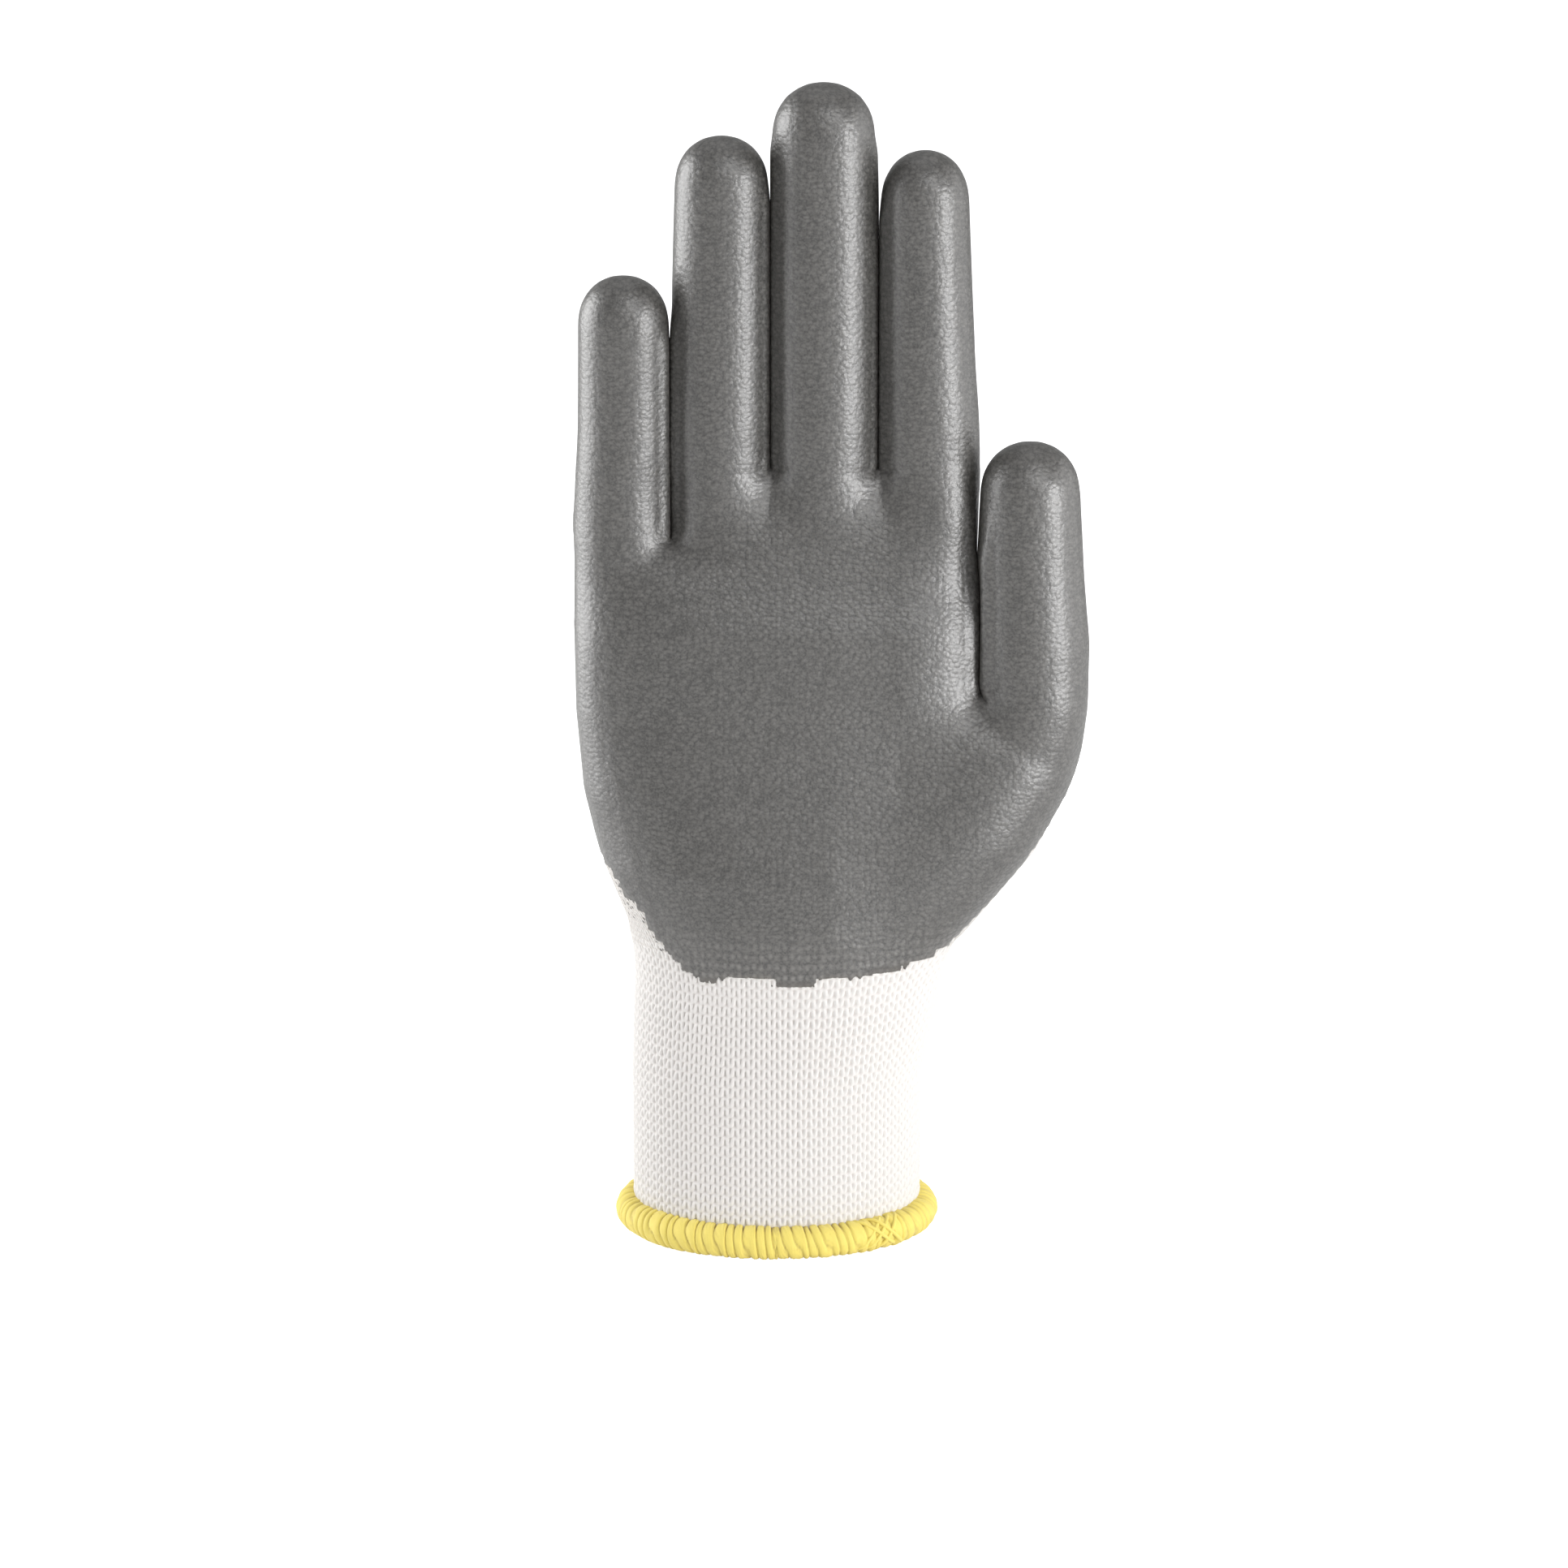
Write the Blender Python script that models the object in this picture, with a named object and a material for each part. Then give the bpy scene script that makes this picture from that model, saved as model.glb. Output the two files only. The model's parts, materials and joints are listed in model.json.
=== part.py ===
"""Right-hand cut resistant work glove, filled out as it is worn, in metres with +Z up.

A seamless knitted liner carries a dipped coating on its palm side, and a thread hem closes the cuff.
The palm faces -Y, the thumb is on +X and the fingers point to +Z. The origin is the middle of the wrist
opening, level with the bottom of the hem. Every layer is the same hand form, drawn in by a named inset,
so the coating always lies on the knit. The glove is divided at the creases where it bends.
"""

import math

import bmesh
import bpy
from mathutils import Vector

# Layers, from the outside in
COATING_WALL = 0.0005
LAYER_GAP = 0.0003
KNIT_WALL = 0.0011
CREASE_GAP = 0.0003  # between the two sides of a crease

# Cuff, wrist and hem
HEM_RADIUS = 0.0038
HEM_OUTSET = 0.0009  # from the outside of the cuff to the middle of the hem
HEM_RIBS = 36
HEM_RIB_DEPTH = 0.0003
CUFF_EDGE = 0.0024  # height of the cuff's lower edge, inside the hem
CUFF_WIDTH = 0.0636
CUFF_DEPTH = 0.0470
CUFF_HEIGHT = 0.0360
WRIST_LENGTH = 0.0210
ELASTIC_RADIUS = 0.0004
ELASTIC_TURNS = 6
ELASTIC_PITCH = 0.0038
ELASTIC_START = 0.0100

# Hand, from the wrist line up to the finger roots
HAND_LENGTH = 0.1090
WRIST_LEFT = 0.0312
WRIST_RIGHT = 0.0365
WRIST_DEPTH = 0.0450
HEEL_DEPTH = 0.0465
MID_PALM_DEPTH = 0.0310
KNUCKLE_DEPTH = 0.0228
CROTCH_BELOW_ROOT = 0.0028
LITTLE_ROOT_DROP = 0.0090
WEB_DEPTH = 0.0130

# Fingers: width at the root, length below and above the middle crease
FINGER_GAP = 0.0005
FINGER_TAPER = 0.09  # share of the width lost from root to tip
FINGER_ROUNDNESS = 0.93  # depth for each unit of width
FINGER_CURL = 0.0035  # how far the tips lean to the palm side
TIP_DOME = 1.0  # dome height for each unit of half width
LITTLE_WIDTH, LITTLE_BASE, LITTLE_TIP = 0.0206, 0.0200, 0.0330
RING_WIDTH, RING_BASE, RING_TIP = 0.0206, 0.0290, 0.0440
MIDDLE_WIDTH, MIDDLE_BASE, MIDDLE_TIP = 0.0222, 0.0330, 0.0510
INDEX_WIDTH, INDEX_BASE, INDEX_TIP = 0.0216, 0.0280, 0.0420

# Thumb: it stands up from its mound beside the hand
THUMB_GAP = 0.0007  # between the thumb and the side of the hand
THUMB_WIDTH = 0.0228
THUMB_ROOT_HEIGHT = 0.1205
THUMB_BASE = 0.0255  # from the root rim up to the thumb's crease
THUMB_TIP = 0.0294
THUMB_FORWARD = 0.0055

# Coating: how far the dip comes round the sides, over the tips and down the palm
DIP_PAST_SIDE = 0.0030
DIP_TIP_WRAP = 0.0100
DIP_SLOPE = 0.0060
DIP_LOW = 0.0016  # its lowest edge above the wrist line
DIP_LEFT_RISE = 0.0300
DIP_RIGHT_RISE = 0.0200
DIP_BACK_CLIMB = 0.60  # how steeply the edge climbs from the front of the hand to its sides

# Facets
HAND_SIDES = 36
FINGER_SIDES = 18

COATING_INSIDE = COATING_WALL
KNIT_OUTSIDE = COATING_WALL + LAYER_GAP
KNIT_INSIDE = KNIT_OUTSIDE + KNIT_WALL
WRIST_LINE = CUFF_HEIGHT + WRIST_LENGTH
ROOT = WRIST_LINE + HAND_LENGTH
PAST = 0.002  # how far a cutter runs past what it cuts

FINGERS = {}
PALM_WIDTH = LITTLE_WIDTH + RING_WIDTH + MIDDLE_WIDTH + INDEX_WIDTH + 3 * FINGER_GAP
place = -PALM_WIDTH / 2
for name, width, base, tip, drop in (
    ("little", LITTLE_WIDTH, LITTLE_BASE, LITTLE_TIP, LITTLE_ROOT_DROP),
    ("ring", RING_WIDTH, RING_BASE, RING_TIP, 0.0),
    ("middle", MIDDLE_WIDTH, MIDDLE_BASE, MIDDLE_TIP, 0.0),
    ("index", INDEX_WIDTH, INDEX_BASE, INDEX_TIP, 0.0),
):
    root = ROOT - drop
    FINGERS[name] = {"x": place + width / 2, "half": width / 2, "root": root,
                     "crease": root + base, "tip": root + base + tip}
    place += width + FINGER_GAP
PALM_LEFT, PALM_RIGHT = -PALM_WIDTH / 2, PALM_WIDTH / 2


def collection(name):
    made = bpy.data.collections.new(name)
    bpy.context.scene.collection.children.link(made)
    return made


def clear_scene():
    for obj in list(bpy.data.objects):
        bpy.data.objects.remove(obj, do_unlink=True)


def material(name, colour, roughness):
    made = bpy.data.materials.new(name)
    made.use_nodes = True
    shader = made.node_tree.nodes["Principled BSDF"]
    shader.inputs["Base Color"].default_value = (*colour, 1.0)
    shader.inputs["Roughness"].default_value = roughness
    made.diffuse_color = (*colour, 1.0)
    return made


def oval(centre, half_width, half_depth, squareness, sides, lean=0.0):
    """A ring of points round centre, level or leaning to +X by an angle in degrees."""
    along = Vector((math.cos(math.radians(lean)), 0.0, -math.sin(math.radians(lean))))
    points = []
    for step in range(sides):
        turn = math.tau * step / sides
        c, s = math.cos(turn), math.sin(turn)
        across = math.copysign(abs(c) ** (2 / squareness), c) * half_width
        deep = math.copysign(abs(s) ** (2 / squareness), s) * half_depth
        points.append(Vector(centre) + along * across + Vector((0.0, deep, 0.0)))
    return points


def skin(bm, rings, pole=None):
    """Faces up through the rings, and to a pole above the last one. Returns the rings' vertices."""
    made = [[bm.verts.new(point) for point in ring] for ring in rings]
    for low, high in zip(made, made[1:]):
        for i in range(len(low)):
            j = (i + 1) % len(low)
            bm.faces.new((low[i], low[j], high[j], high[i]))
    if pole is not None:
        top = bm.verts.new(pole)
        for i in range(len(made[-1])):
            bm.faces.new((made[-1][i], made[-1][(i + 1) % len(made[-1])], top))
    return made


def finish_mesh(bm, name, owner):
    bmesh.ops.recalc_face_normals(bm, faces=bm.faces)
    mesh = bpy.data.meshes.new(name)
    bm.to_mesh(mesh)
    bm.free()
    obj = bpy.data.objects.new(name, mesh)
    owner.objects.link(obj)
    if owner is CUTTERS:
        obj.hide_render = True
        obj.display_type = "WIRE"
    return obj


def loft(name, rings, owner):
    """A solid through the rings, flat at both ends."""
    bm = bmesh.new()
    made = skin(bm, rings)
    bm.faces.new(made[0])
    bm.faces.new(made[-1])
    return finish_mesh(bm, name, owner)


def shell(name, outer, inner, owner, poles=None):
    """A wall between two skins, open at the bottom, and at the top unless it has poles."""
    bm = bmesh.new()
    out = skin(bm, outer, poles and poles[0])
    inn = skin(bm, inner, poles and poles[1])
    for a, b in ((out[0], inn[0]),) if poles else ((out[0], inn[0]), (out[-1], inn[-1])):
        for i in range(len(a)):
            j = (i + 1) % len(a)
            bm.faces.new((a[i], a[j], b[j], b[i]))
    return finish_mesh(bm, name, owner)


def prism(name, outline, start, end, flat_axis, owner, climb=0.0):
    """A solid of constant outline. flat_axis 0 runs it along X from outline (y, z), 1 along Y from (x, z).

    With climb, the far end is that much higher than the near one.
    """
    bm = bmesh.new()
    points = []
    for a, b in outline:
        points.append((start, a, b) if flat_axis == 0 else (a, start, b))
    face = bm.faces.new([bm.verts.new(point) for point in points])
    pushed = bmesh.ops.extrude_face_region(bm, geom=[face])
    run = Vector((end - start, 0, climb)) if flat_axis == 0 else Vector((0, end - start, climb))
    moved = [item for item in pushed["geom"] if isinstance(item, bmesh.types.BMVert)]
    bmesh.ops.translate(bm, verts=moved, vec=run)
    return finish_mesh(bm, name, owner)


def boolean(obj, operation, other):
    made = obj.modifiers.new(operation.lower(), "BOOLEAN")
    made.operation = operation
    made.solver = "EXACT"
    made.object = other
    return obj


def finger_ring(finger, height, inset, swell=1.0):
    """The finger's outline at a height: it narrows a little upwards and leans to the palm side."""
    share = (height - finger["root"]) / (finger["tip"] - finger["root"])
    half = finger["half"] * (1 - FINGER_TAPER * max(share, 0.0))
    deep = half * FINGER_ROUNDNESS
    centre = (finger["x"], -FINGER_CURL * max(share, 0.0) ** 2, height)
    return oval(centre, (half - inset) * swell, (deep - inset) * swell, 2.15, FINGER_SIDES)


def finger_front(finger, height):
    """The palm-side face of the finger at a height, where its crease folds."""
    return min(point.y for point in finger_ring(finger, height, 0.0))


def finger_dome(finger, inset):
    """Rings up the rounded end, and the pole that closes it."""
    share_top = 1 - FINGER_TAPER
    high = finger["half"] * share_top * TIP_DOME
    low = finger["tip"] - high
    rings = []
    for angle in (0, 22, 42, 60, 75):
        turn = math.radians(angle)
        height = low + (high - inset) * math.sin(turn)
        flat = finger_ring(finger, low, inset)
        share = (height - finger["root"]) / (finger["tip"] - finger["root"])
        middle = Vector((finger["x"], -FINGER_CURL * share**2, height))
        first = Vector((finger["x"], sum(p.y for p in flat) / len(flat), low))
        rings.append([middle + (point - first) * math.cos(turn) for point in flat])
    pole = Vector((finger["x"], -FINGER_CURL, finger["tip"] - inset))
    return rings, pole


def thumb_ring(station, inset, rise=0.0):
    """One of the thumb's outlines, moved along the thumb by rise."""
    x, y, z, half, deep, lean = station
    up = Vector((math.sin(math.radians(lean)), 0.0, math.cos(math.radians(lean)))) * rise
    return oval(Vector((x, y, z)) + up, half - inset, deep - inset, 2.1, FINGER_SIDES, lean)


THUMB_HALF = THUMB_WIDTH / 2
THUMB_X = PALM_RIGHT + THUMB_GAP + THUMB_HALF
THUMB_CREASE = THUMB_ROOT_HEIGHT + THUMB_BASE
THUMB_END = THUMB_CREASE + THUMB_TIP


def thumb_station(dx, dz, width, lean, deep):
    """An outline placed from the middle of the root rim, sized by the thumb's own width."""
    half = THUMB_HALF * width
    return (THUMB_X + dx, -THUMB_FORWARD, THUMB_ROOT_HEIGHT + dz, half, THUMB_HALF * deep, lean)


# The thumb's mound, from deep in the hand up to the root rim, then the thumb itself
THUMB_MOUND = (
    thumb_station(-0.0390, -0.0571, 1.00, 44, 1.10),
    thumb_station(-0.0270, -0.0421, 1.44, 42, 1.42),
    thumb_station(-0.0118, -0.0246, 1.38, 38, 1.36),
    thumb_station(-0.0048, -0.0151, 1.20, 32, 1.20),
    thumb_station(-0.0009, -0.0073, 1.05, 15, 1.07),
    thumb_station(0.0, 0.0, 1.00, 0, 1.00),
)
THUMB_STALK = (
    thumb_station(0.0, 0.0110, 0.99, 0, 0.97),
    thumb_station(-0.0007, THUMB_BASE, 0.93, 0, 0.93),
)
THUMB_LAST = {"x": THUMB_X - 0.0014, "half": THUMB_HALF * 0.88, "low": THUMB_END - THUMB_HALF * 0.88}


def thumb_dome(inset):
    half = THUMB_LAST["half"]
    rings = []
    for angle in (0, 22, 42, 60, 75):
        turn = math.radians(angle)
        height = THUMB_LAST["low"] + (half - inset) * math.sin(turn)
        size = math.cos(turn)
        centre = (THUMB_LAST["x"], -THUMB_FORWARD - 0.0006, height)
        rings.append(oval(centre, (half - inset) * size, (half * 0.96 - inset) * size, 2.1, FINGER_SIDES))
    return rings, Vector((THUMB_LAST["x"], -THUMB_FORWARD - 0.0006, THUMB_END - inset))


# Height above the wrist line, how far the left and right edges have spread from wrist to palm,
# depth in front of and behind the middle, and how square the outline is
HAND_SECTIONS = (
    (0.0, 0.00, 0.00, WRIST_DEPTH * 0.50, WRIST_DEPTH * 0.50, 2.0),
    (0.065, 0.03, 0.26, HEEL_DEPTH * 0.50, WRIST_DEPTH * 0.49, 2.1),
    (0.138, 0.16, 0.45, HEEL_DEPTH * 0.51, WRIST_DEPTH * 0.47, 2.3),
    (0.248, 0.55, 0.66, HEEL_DEPTH * 0.49, WRIST_DEPTH * 0.43, 2.5),
    (0.395, 0.86, 0.86, HEEL_DEPTH * 0.42, WRIST_DEPTH * 0.375, 2.7),
    (0.550, 0.98, 0.97, MID_PALM_DEPTH * 0.53, MID_PALM_DEPTH * 0.48, 2.9),
    (0.720, 1.00, 0.99, MID_PALM_DEPTH * 0.48, MID_PALM_DEPTH * 0.45, 2.9),
    (0.830, 0.985, 0.985, KNUCKLE_DEPTH * 0.51, KNUCKLE_DEPTH * 0.50, 2.8),
)


def hand_ring(section, inset):
    rise, left, right, front, back, square = section
    low = -WRIST_LEFT + (PALM_LEFT + WRIST_LEFT) * left + inset
    high = WRIST_RIGHT + (PALM_RIGHT - WRIST_RIGHT) * right - inset
    centre = ((low + high) / 2, (back - front) / 2, WRIST_LINE + HAND_LENGTH * rise)
    return oval(centre, (high - low) / 2, (front + back) / 2 - inset, square, HAND_SIDES)


def web_rings(left, right, bottom, top, inset, sides):
    """The flattening end of the hand below a row of fingers."""
    rings = []
    flat = KNUCKLE_DEPTH * 0.98
    for height, deep in ((bottom, flat), (top - 0.012, flat), (top - 0.005, (flat + WEB_DEPTH) / 2), (top, WEB_DEPTH)):
        end = height - (inset if height == top else 0.0)
        centre = ((left + right) / 2, 0.0, end)
        rings.append(oval(centre, (right - left) / 2 - 0.0006 - inset, deep / 2 - inset, 3.0, sides))
    return rings


def hand_solid(name, inset, open_ends):
    """The whole hand form drawn in by inset: body, finger row, finger roots and thumb mound in one."""
    over = PAST if open_ends else -CREASE_GAP / 2
    rings = [hand_ring(section, inset) for section in HAND_SECTIONS]
    for point in rings[0]:
        point.z -= over
    little, ring, index = FINGERS["little"], FINGERS["ring"], FINGERS["index"]
    low_crotch = little["root"] - CROTCH_BELOW_ROOT
    crotch = ROOT - CROTCH_BELOW_ROOT
    rings += web_rings(PALM_LEFT, PALM_RIGHT, WRIST_LINE + HAND_LENGTH * 0.86, low_crotch, inset, HAND_SIDES)[2:]
    whole = loft(name, rings, CUTTERS)
    start = ROOT - 0.034
    pieces = [loft(name + "_row", web_rings(ring["x"] - ring["half"], index["x"] + index["half"], start, crotch,
                                            inset, HAND_SIDES), CUTTERS)]
    for title, finger in FINGERS.items():
        root = finger["root"]
        stub = [finger_ring(finger, root - 0.030, inset, 0.70), finger_ring(finger, root - 0.012, inset, 0.965),
                finger_ring(finger, root, inset)]
        stub.append([Vector((p.x, p.y, root + over)) for p in stub[-1]])
        if not open_ends:
            stub.pop(-2)
        pieces.append(loft(name + "_" + title, stub, CUTTERS))
    mound = [thumb_ring(station, inset) for station in THUMB_MOUND]
    mound.append(thumb_ring(THUMB_MOUND[-1], inset, over))
    if not open_ends:
        mound.pop(-2)
    pieces.append(loft(name + "_thumb", mound, CUTTERS))
    for piece in pieces:
        boolean(whole, "UNION", piece)
    return whole


def into_parts(obj, name, made_of):
    """Moves a finished form from the cutters to the parts."""
    CUTTERS.objects.unlink(obj)
    PARTS.objects.link(obj)
    obj.name = name
    obj.hide_render = False
    obj.display_type = "TEXTURED"
    return dress(obj, made_of)


def dress(obj, made_of):
    obj.data.materials.clear()
    obj.data.materials.append(made_of[0](obj.name, made_of[1], made_of[2]))
    return obj


clear_scene()
PARTS = collection("cut_resistant_glove")
CUTTERS = collection("cutters")
KNIT = (material, (0.86, 0.84, 0.81), 0.9)
COATING = (material, (0.125, 0.118, 0.108), 0.55)
THREAD = (material, (0.86, 0.72, 0.26), 0.7)
ELASTIC = (material, (0.80, 0.78, 0.74), 0.8)


def knit_and_coating(title, outlines, poles, cutter):
    """One stretch of finger or thumb: the knitted stall, and the coating on it with the bare back cut away.

    outlines gives the rings for an inset, and poles the two ends that close a tip.
    """
    shell_of = lambda name, a, b: shell(name, outlines(a), outlines(b), PARTS, poles and (poles(a), poles(b)))
    dress(shell_of(title + "_knit", KNIT_OUTSIDE, KNIT_INSIDE), KNIT)
    coating = shell_of(title + "_coating", 0.0, COATING_INSIDE)
    dress(boolean(coating, "DIFFERENCE", cutter), COATING)


def back_cutter(name, middle, half, low, high, is_tip):
    """What the dip leaves bare on the back: all of a base, and a tip up to its wrap."""
    near = DIP_PAST_SIDE
    far = near + 0.05
    top = high - DIP_TIP_WRAP if is_tip else high + PAST
    first = top - DIP_SLOPE if is_tip else top
    outline = [(near, low - PAST), (far, low - PAST), (far, top), (near + half * 0.6, top), (near, first)]
    if not is_tip:
        outline = [(near, low - PAST), (far, low - PAST), (far, top), (near, top)]
    shifted = [(y + middle[1], z) for y, z in outline]
    return prism(name, shifted, middle[0] - 2 * half, middle[0] + 2 * half, 0, CUTTERS)


def move_ring(ring, rise):
    return [Vector((point.x, point.y, point.z + rise)) for point in ring]


# Fingers
for title, finger in FINGERS.items():
    low, crease = finger["root"] + CREASE_GAP / 2, finger["crease"]
    middle = (low + crease) / 2

    def base_rings(inset, finger=finger, low=low, middle=middle, crease=crease):
        return [finger_ring(finger, height, inset) for height in (low, middle, crease - CREASE_GAP / 2)]

    def tip_rings(inset, finger=finger, crease=crease):
        start = crease + CREASE_GAP / 2
        rings, _ = finger_dome(finger, inset)
        return [finger_ring(finger, start, inset), finger_ring(finger, (start + rings[0][0].z) / 2, inset)] + rings

    cut = back_cutter(title + "_base_back", (finger["x"], 0.0), finger["half"], low, crease, False)
    knit_and_coating(title + "_base", base_rings, None, cut)
    cut = back_cutter(title + "_tip_back", (finger["x"], -FINGER_CURL / 2), finger["half"], crease, finger["tip"],
                      True)
    knit_and_coating(title + "_tip", tip_rings, lambda inset, f=finger: finger_dome(f, inset)[1], cut)
    print("hinge", title, "x %.5f" % finger["x"],
          "root y %.5f z %.5f" % (finger_front(finger, finger["root"]), finger["root"]),
          "crease y %.5f z %.5f" % (finger_front(finger, crease), crease))


# Thumb
def thumb_base_rings(inset):
    rings = [thumb_ring(THUMB_MOUND[-1], inset, CREASE_GAP / 2)]
    rings += [thumb_ring(station, inset) for station in THUMB_STALK]
    rings[-1] = move_ring(rings[-1], -CREASE_GAP / 2)
    return rings


def thumb_tip_rings(inset):
    return [move_ring(thumb_ring(THUMB_STALK[-1], inset), CREASE_GAP / 2)] + thumb_dome(inset)[0]


cut = back_cutter("thumb_base_back", (THUMB_X, -THUMB_FORWARD), THUMB_HALF, THUMB_ROOT_HEIGHT, THUMB_CREASE, False)
knit_and_coating("thumb_base", thumb_base_rings, None, cut)
cut = back_cutter("thumb_tip_back", (THUMB_X, -THUMB_FORWARD), THUMB_HALF, THUMB_CREASE, THUMB_END, True)
knit_and_coating("thumb_tip", thumb_tip_rings, lambda inset: thumb_dome(inset)[1], cut)
print("hinge thumb root x %.5f y %.5f z %.5f" % (
    THUMB_X, min(p.y for p in thumb_ring(THUMB_MOUND[-1], 0.0)), THUMB_ROOT_HEIGHT),
    "crease y %.5f z %.5f" % (min(p.y for p in thumb_ring(THUMB_STALK[-1], 0.0)), THUMB_CREASE))

# Hand: the knitted body, then the coating cut to the line that the dip left
hand_inside = hand_solid("hand_inside", KNIT_INSIDE, True)
hand_knit = boolean(hand_solid("hand_form", KNIT_OUTSIDE, False), "DIFFERENCE", hand_inside)
into_parts(hand_knit, "hand_knit", KNIT)

dip_near = -0.06
dip_floor = WRIST_LINE + DIP_LOW - DIP_BACK_CLIMB * (-HEEL_DEPTH / 2 - dip_near)
DIP_LINE = [
    (PALM_LEFT - 0.02, dip_floor + DIP_LEFT_RISE),
    (PALM_LEFT + 0.0040, dip_floor + DIP_LEFT_RISE * 0.62),
    (PALM_LEFT + 0.0115, dip_floor + DIP_LEFT_RISE * 0.36),
    (PALM_LEFT + 0.0215, dip_floor + DIP_LEFT_RISE * 0.12),
    (PALM_LEFT + 0.0283, dip_floor),
    (PALM_RIGHT - 0.0280, dip_floor),
    (PALM_RIGHT - 0.0113, dip_floor + DIP_RIGHT_RISE * 0.12),
    (PALM_RIGHT - 0.0030, dip_floor + DIP_RIGHT_RISE * 0.28),
    (PALM_RIGHT + 0.0080, dip_floor + DIP_RIGHT_RISE * 0.60),
    (PALM_RIGHT + 0.0350, dip_floor + DIP_RIGHT_RISE),
    (PALM_RIGHT + 0.0350, ROOT + 0.02),
    (PALM_LEFT - 0.02, ROOT + 0.02),
]
dip = prism("dip_line", DIP_LINE, dip_near, DIP_PAST_SIDE, 1, CUTTERS,
            DIP_BACK_CLIMB * (DIP_PAST_SIDE - dip_near))
palm_inside = hand_solid("palm_inside", COATING_INSIDE, True)
palm = boolean(hand_solid("palm_form", 0.0, False), "DIFFERENCE", palm_inside)
into_parts(boolean(palm, "INTERSECT", dip), "palm_coating", COATING)


# Wrist and cuff: one knitted tube, divided where it bends
def cuff_ring(height, inset):
    share = max(0.0, (height - CUFF_HEIGHT) / WRIST_LENGTH)
    ease = share * share * (3 - 2 * share)
    left = CUFF_WIDTH / 2 + (WRIST_LEFT - CUFF_WIDTH / 2) * ease
    right = CUFF_WIDTH / 2 + (WRIST_RIGHT - CUFF_WIDTH / 2) * ease
    deep = CUFF_DEPTH / 2 + (WRIST_DEPTH / 2 - CUFF_DEPTH / 2) * ease
    return oval(((right - left) / 2, 0.0, height), (left + right) / 2 - inset, deep - inset, 2.0, HAND_SIDES)


def tube(name, heights, made_of):
    outer = [cuff_ring(height, KNIT_OUTSIDE) for height in heights]
    inner = [cuff_ring(height, KNIT_INSIDE) for height in heights]
    return dress(shell(name, outer, inner, PARTS), made_of)


tube("cuff_knit", (CUFF_EDGE, CUFF_HEIGHT - CREASE_GAP / 2), KNIT)
tube("wrist_knit", (CUFF_HEIGHT + CREASE_GAP / 2, CUFF_HEIGHT + WRIST_LENGTH * 0.5,
                    WRIST_LINE - CREASE_GAP / 2), KNIT)


def wound(name, points, radii, thickness, closed):
    """Thread or yarn along a line of points, as a mesh so that it can be cut."""
    curve = bpy.data.curves.new(name, "CURVE")
    curve.dimensions = "3D"
    curve.bevel_depth = thickness
    curve.bevel_resolution = 2 if closed else 0
    curve.use_fill_caps = not closed
    spline = curve.splines.new("POLY")
    spline.points.add(len(points) - 1)
    for point, place, radius in zip(spline.points, points, radii):
        point.co = (*place, 1.0)
        point.radius = radius
    spline.use_cyclic_u = closed
    drawn = bpy.data.objects.new(name + "_line", curve)
    CUTTERS.objects.link(drawn)
    mesh = bpy.data.meshes.new_from_object(drawn.evaluated_get(bpy.context.evaluated_depsgraph_get()))
    bpy.data.objects.remove(drawn, do_unlink=True)
    bm = bmesh.new()
    bm.from_mesh(mesh)
    bmesh.ops.remove_doubles(bm, verts=bm.verts, dist=0.00001)
    bpy.data.meshes.remove(mesh)
    return finish_mesh(bm, name, PARTS)


# Hem: the overlocked thread round the cuff's edge, ribbed by its wraps, with the edge let into it
hem_points, hem_radii = [], []
for step in range(2 * HEM_RIBS):
    turn = math.tau * step / (2 * HEM_RIBS)
    hem_points.append(((CUFF_WIDTH / 2 - KNIT_OUTSIDE + HEM_OUTSET) * math.cos(turn),
                       (CUFF_DEPTH / 2 - KNIT_OUTSIDE + HEM_OUTSET) * math.sin(turn), HEM_RADIUS))
    hem_radii.append(1.0 if step % 2 else 1.0 - HEM_RIB_DEPTH / HEM_RADIUS)
hem = wound("hem_thread", hem_points, hem_radii, HEM_RADIUS, True)
slot_heights = (CUFF_EDGE - LAYER_GAP, 2 * HEM_RADIUS + PAST)
slot = shell("hem_slot", [cuff_ring(height, KNIT_OUTSIDE - LAYER_GAP) for height in slot_heights],
             [cuff_ring(height, KNIT_INSIDE + LAYER_GAP) for height in slot_heights], CUTTERS)
dress(boolean(hem, "DIFFERENCE", slot), THREAD)

# Elastic yarn laid in along the inside of the cuff, one unbroken run from course to course
yarn, yarn_in = [], KNIT_INSIDE + LAYER_GAP + ELASTIC_RADIUS
for step in range(ELASTIC_TURNS * HAND_SIDES + 1):
    turn = math.tau * step / HAND_SIDES
    yarn.append(((CUFF_WIDTH / 2 - yarn_in) * math.cos(turn), (CUFF_DEPTH / 2 - yarn_in) * math.sin(turn),
                 ELASTIC_START + ELASTIC_PITCH * step / HAND_SIDES))
dress(wound("cuff_elastic", yarn, [1.0] * len(yarn), ELASTIC_RADIUS, False), ELASTIC)
least = min((Vector(a) - Vector(b)).length for a, b in zip(yarn, yarn[HAND_SIDES:])) - 2 * ELASTIC_RADIUS
print("least gap between turns of the elastic yarn: %.2f mm" % (least * 1000))
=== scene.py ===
import json
import math

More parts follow.
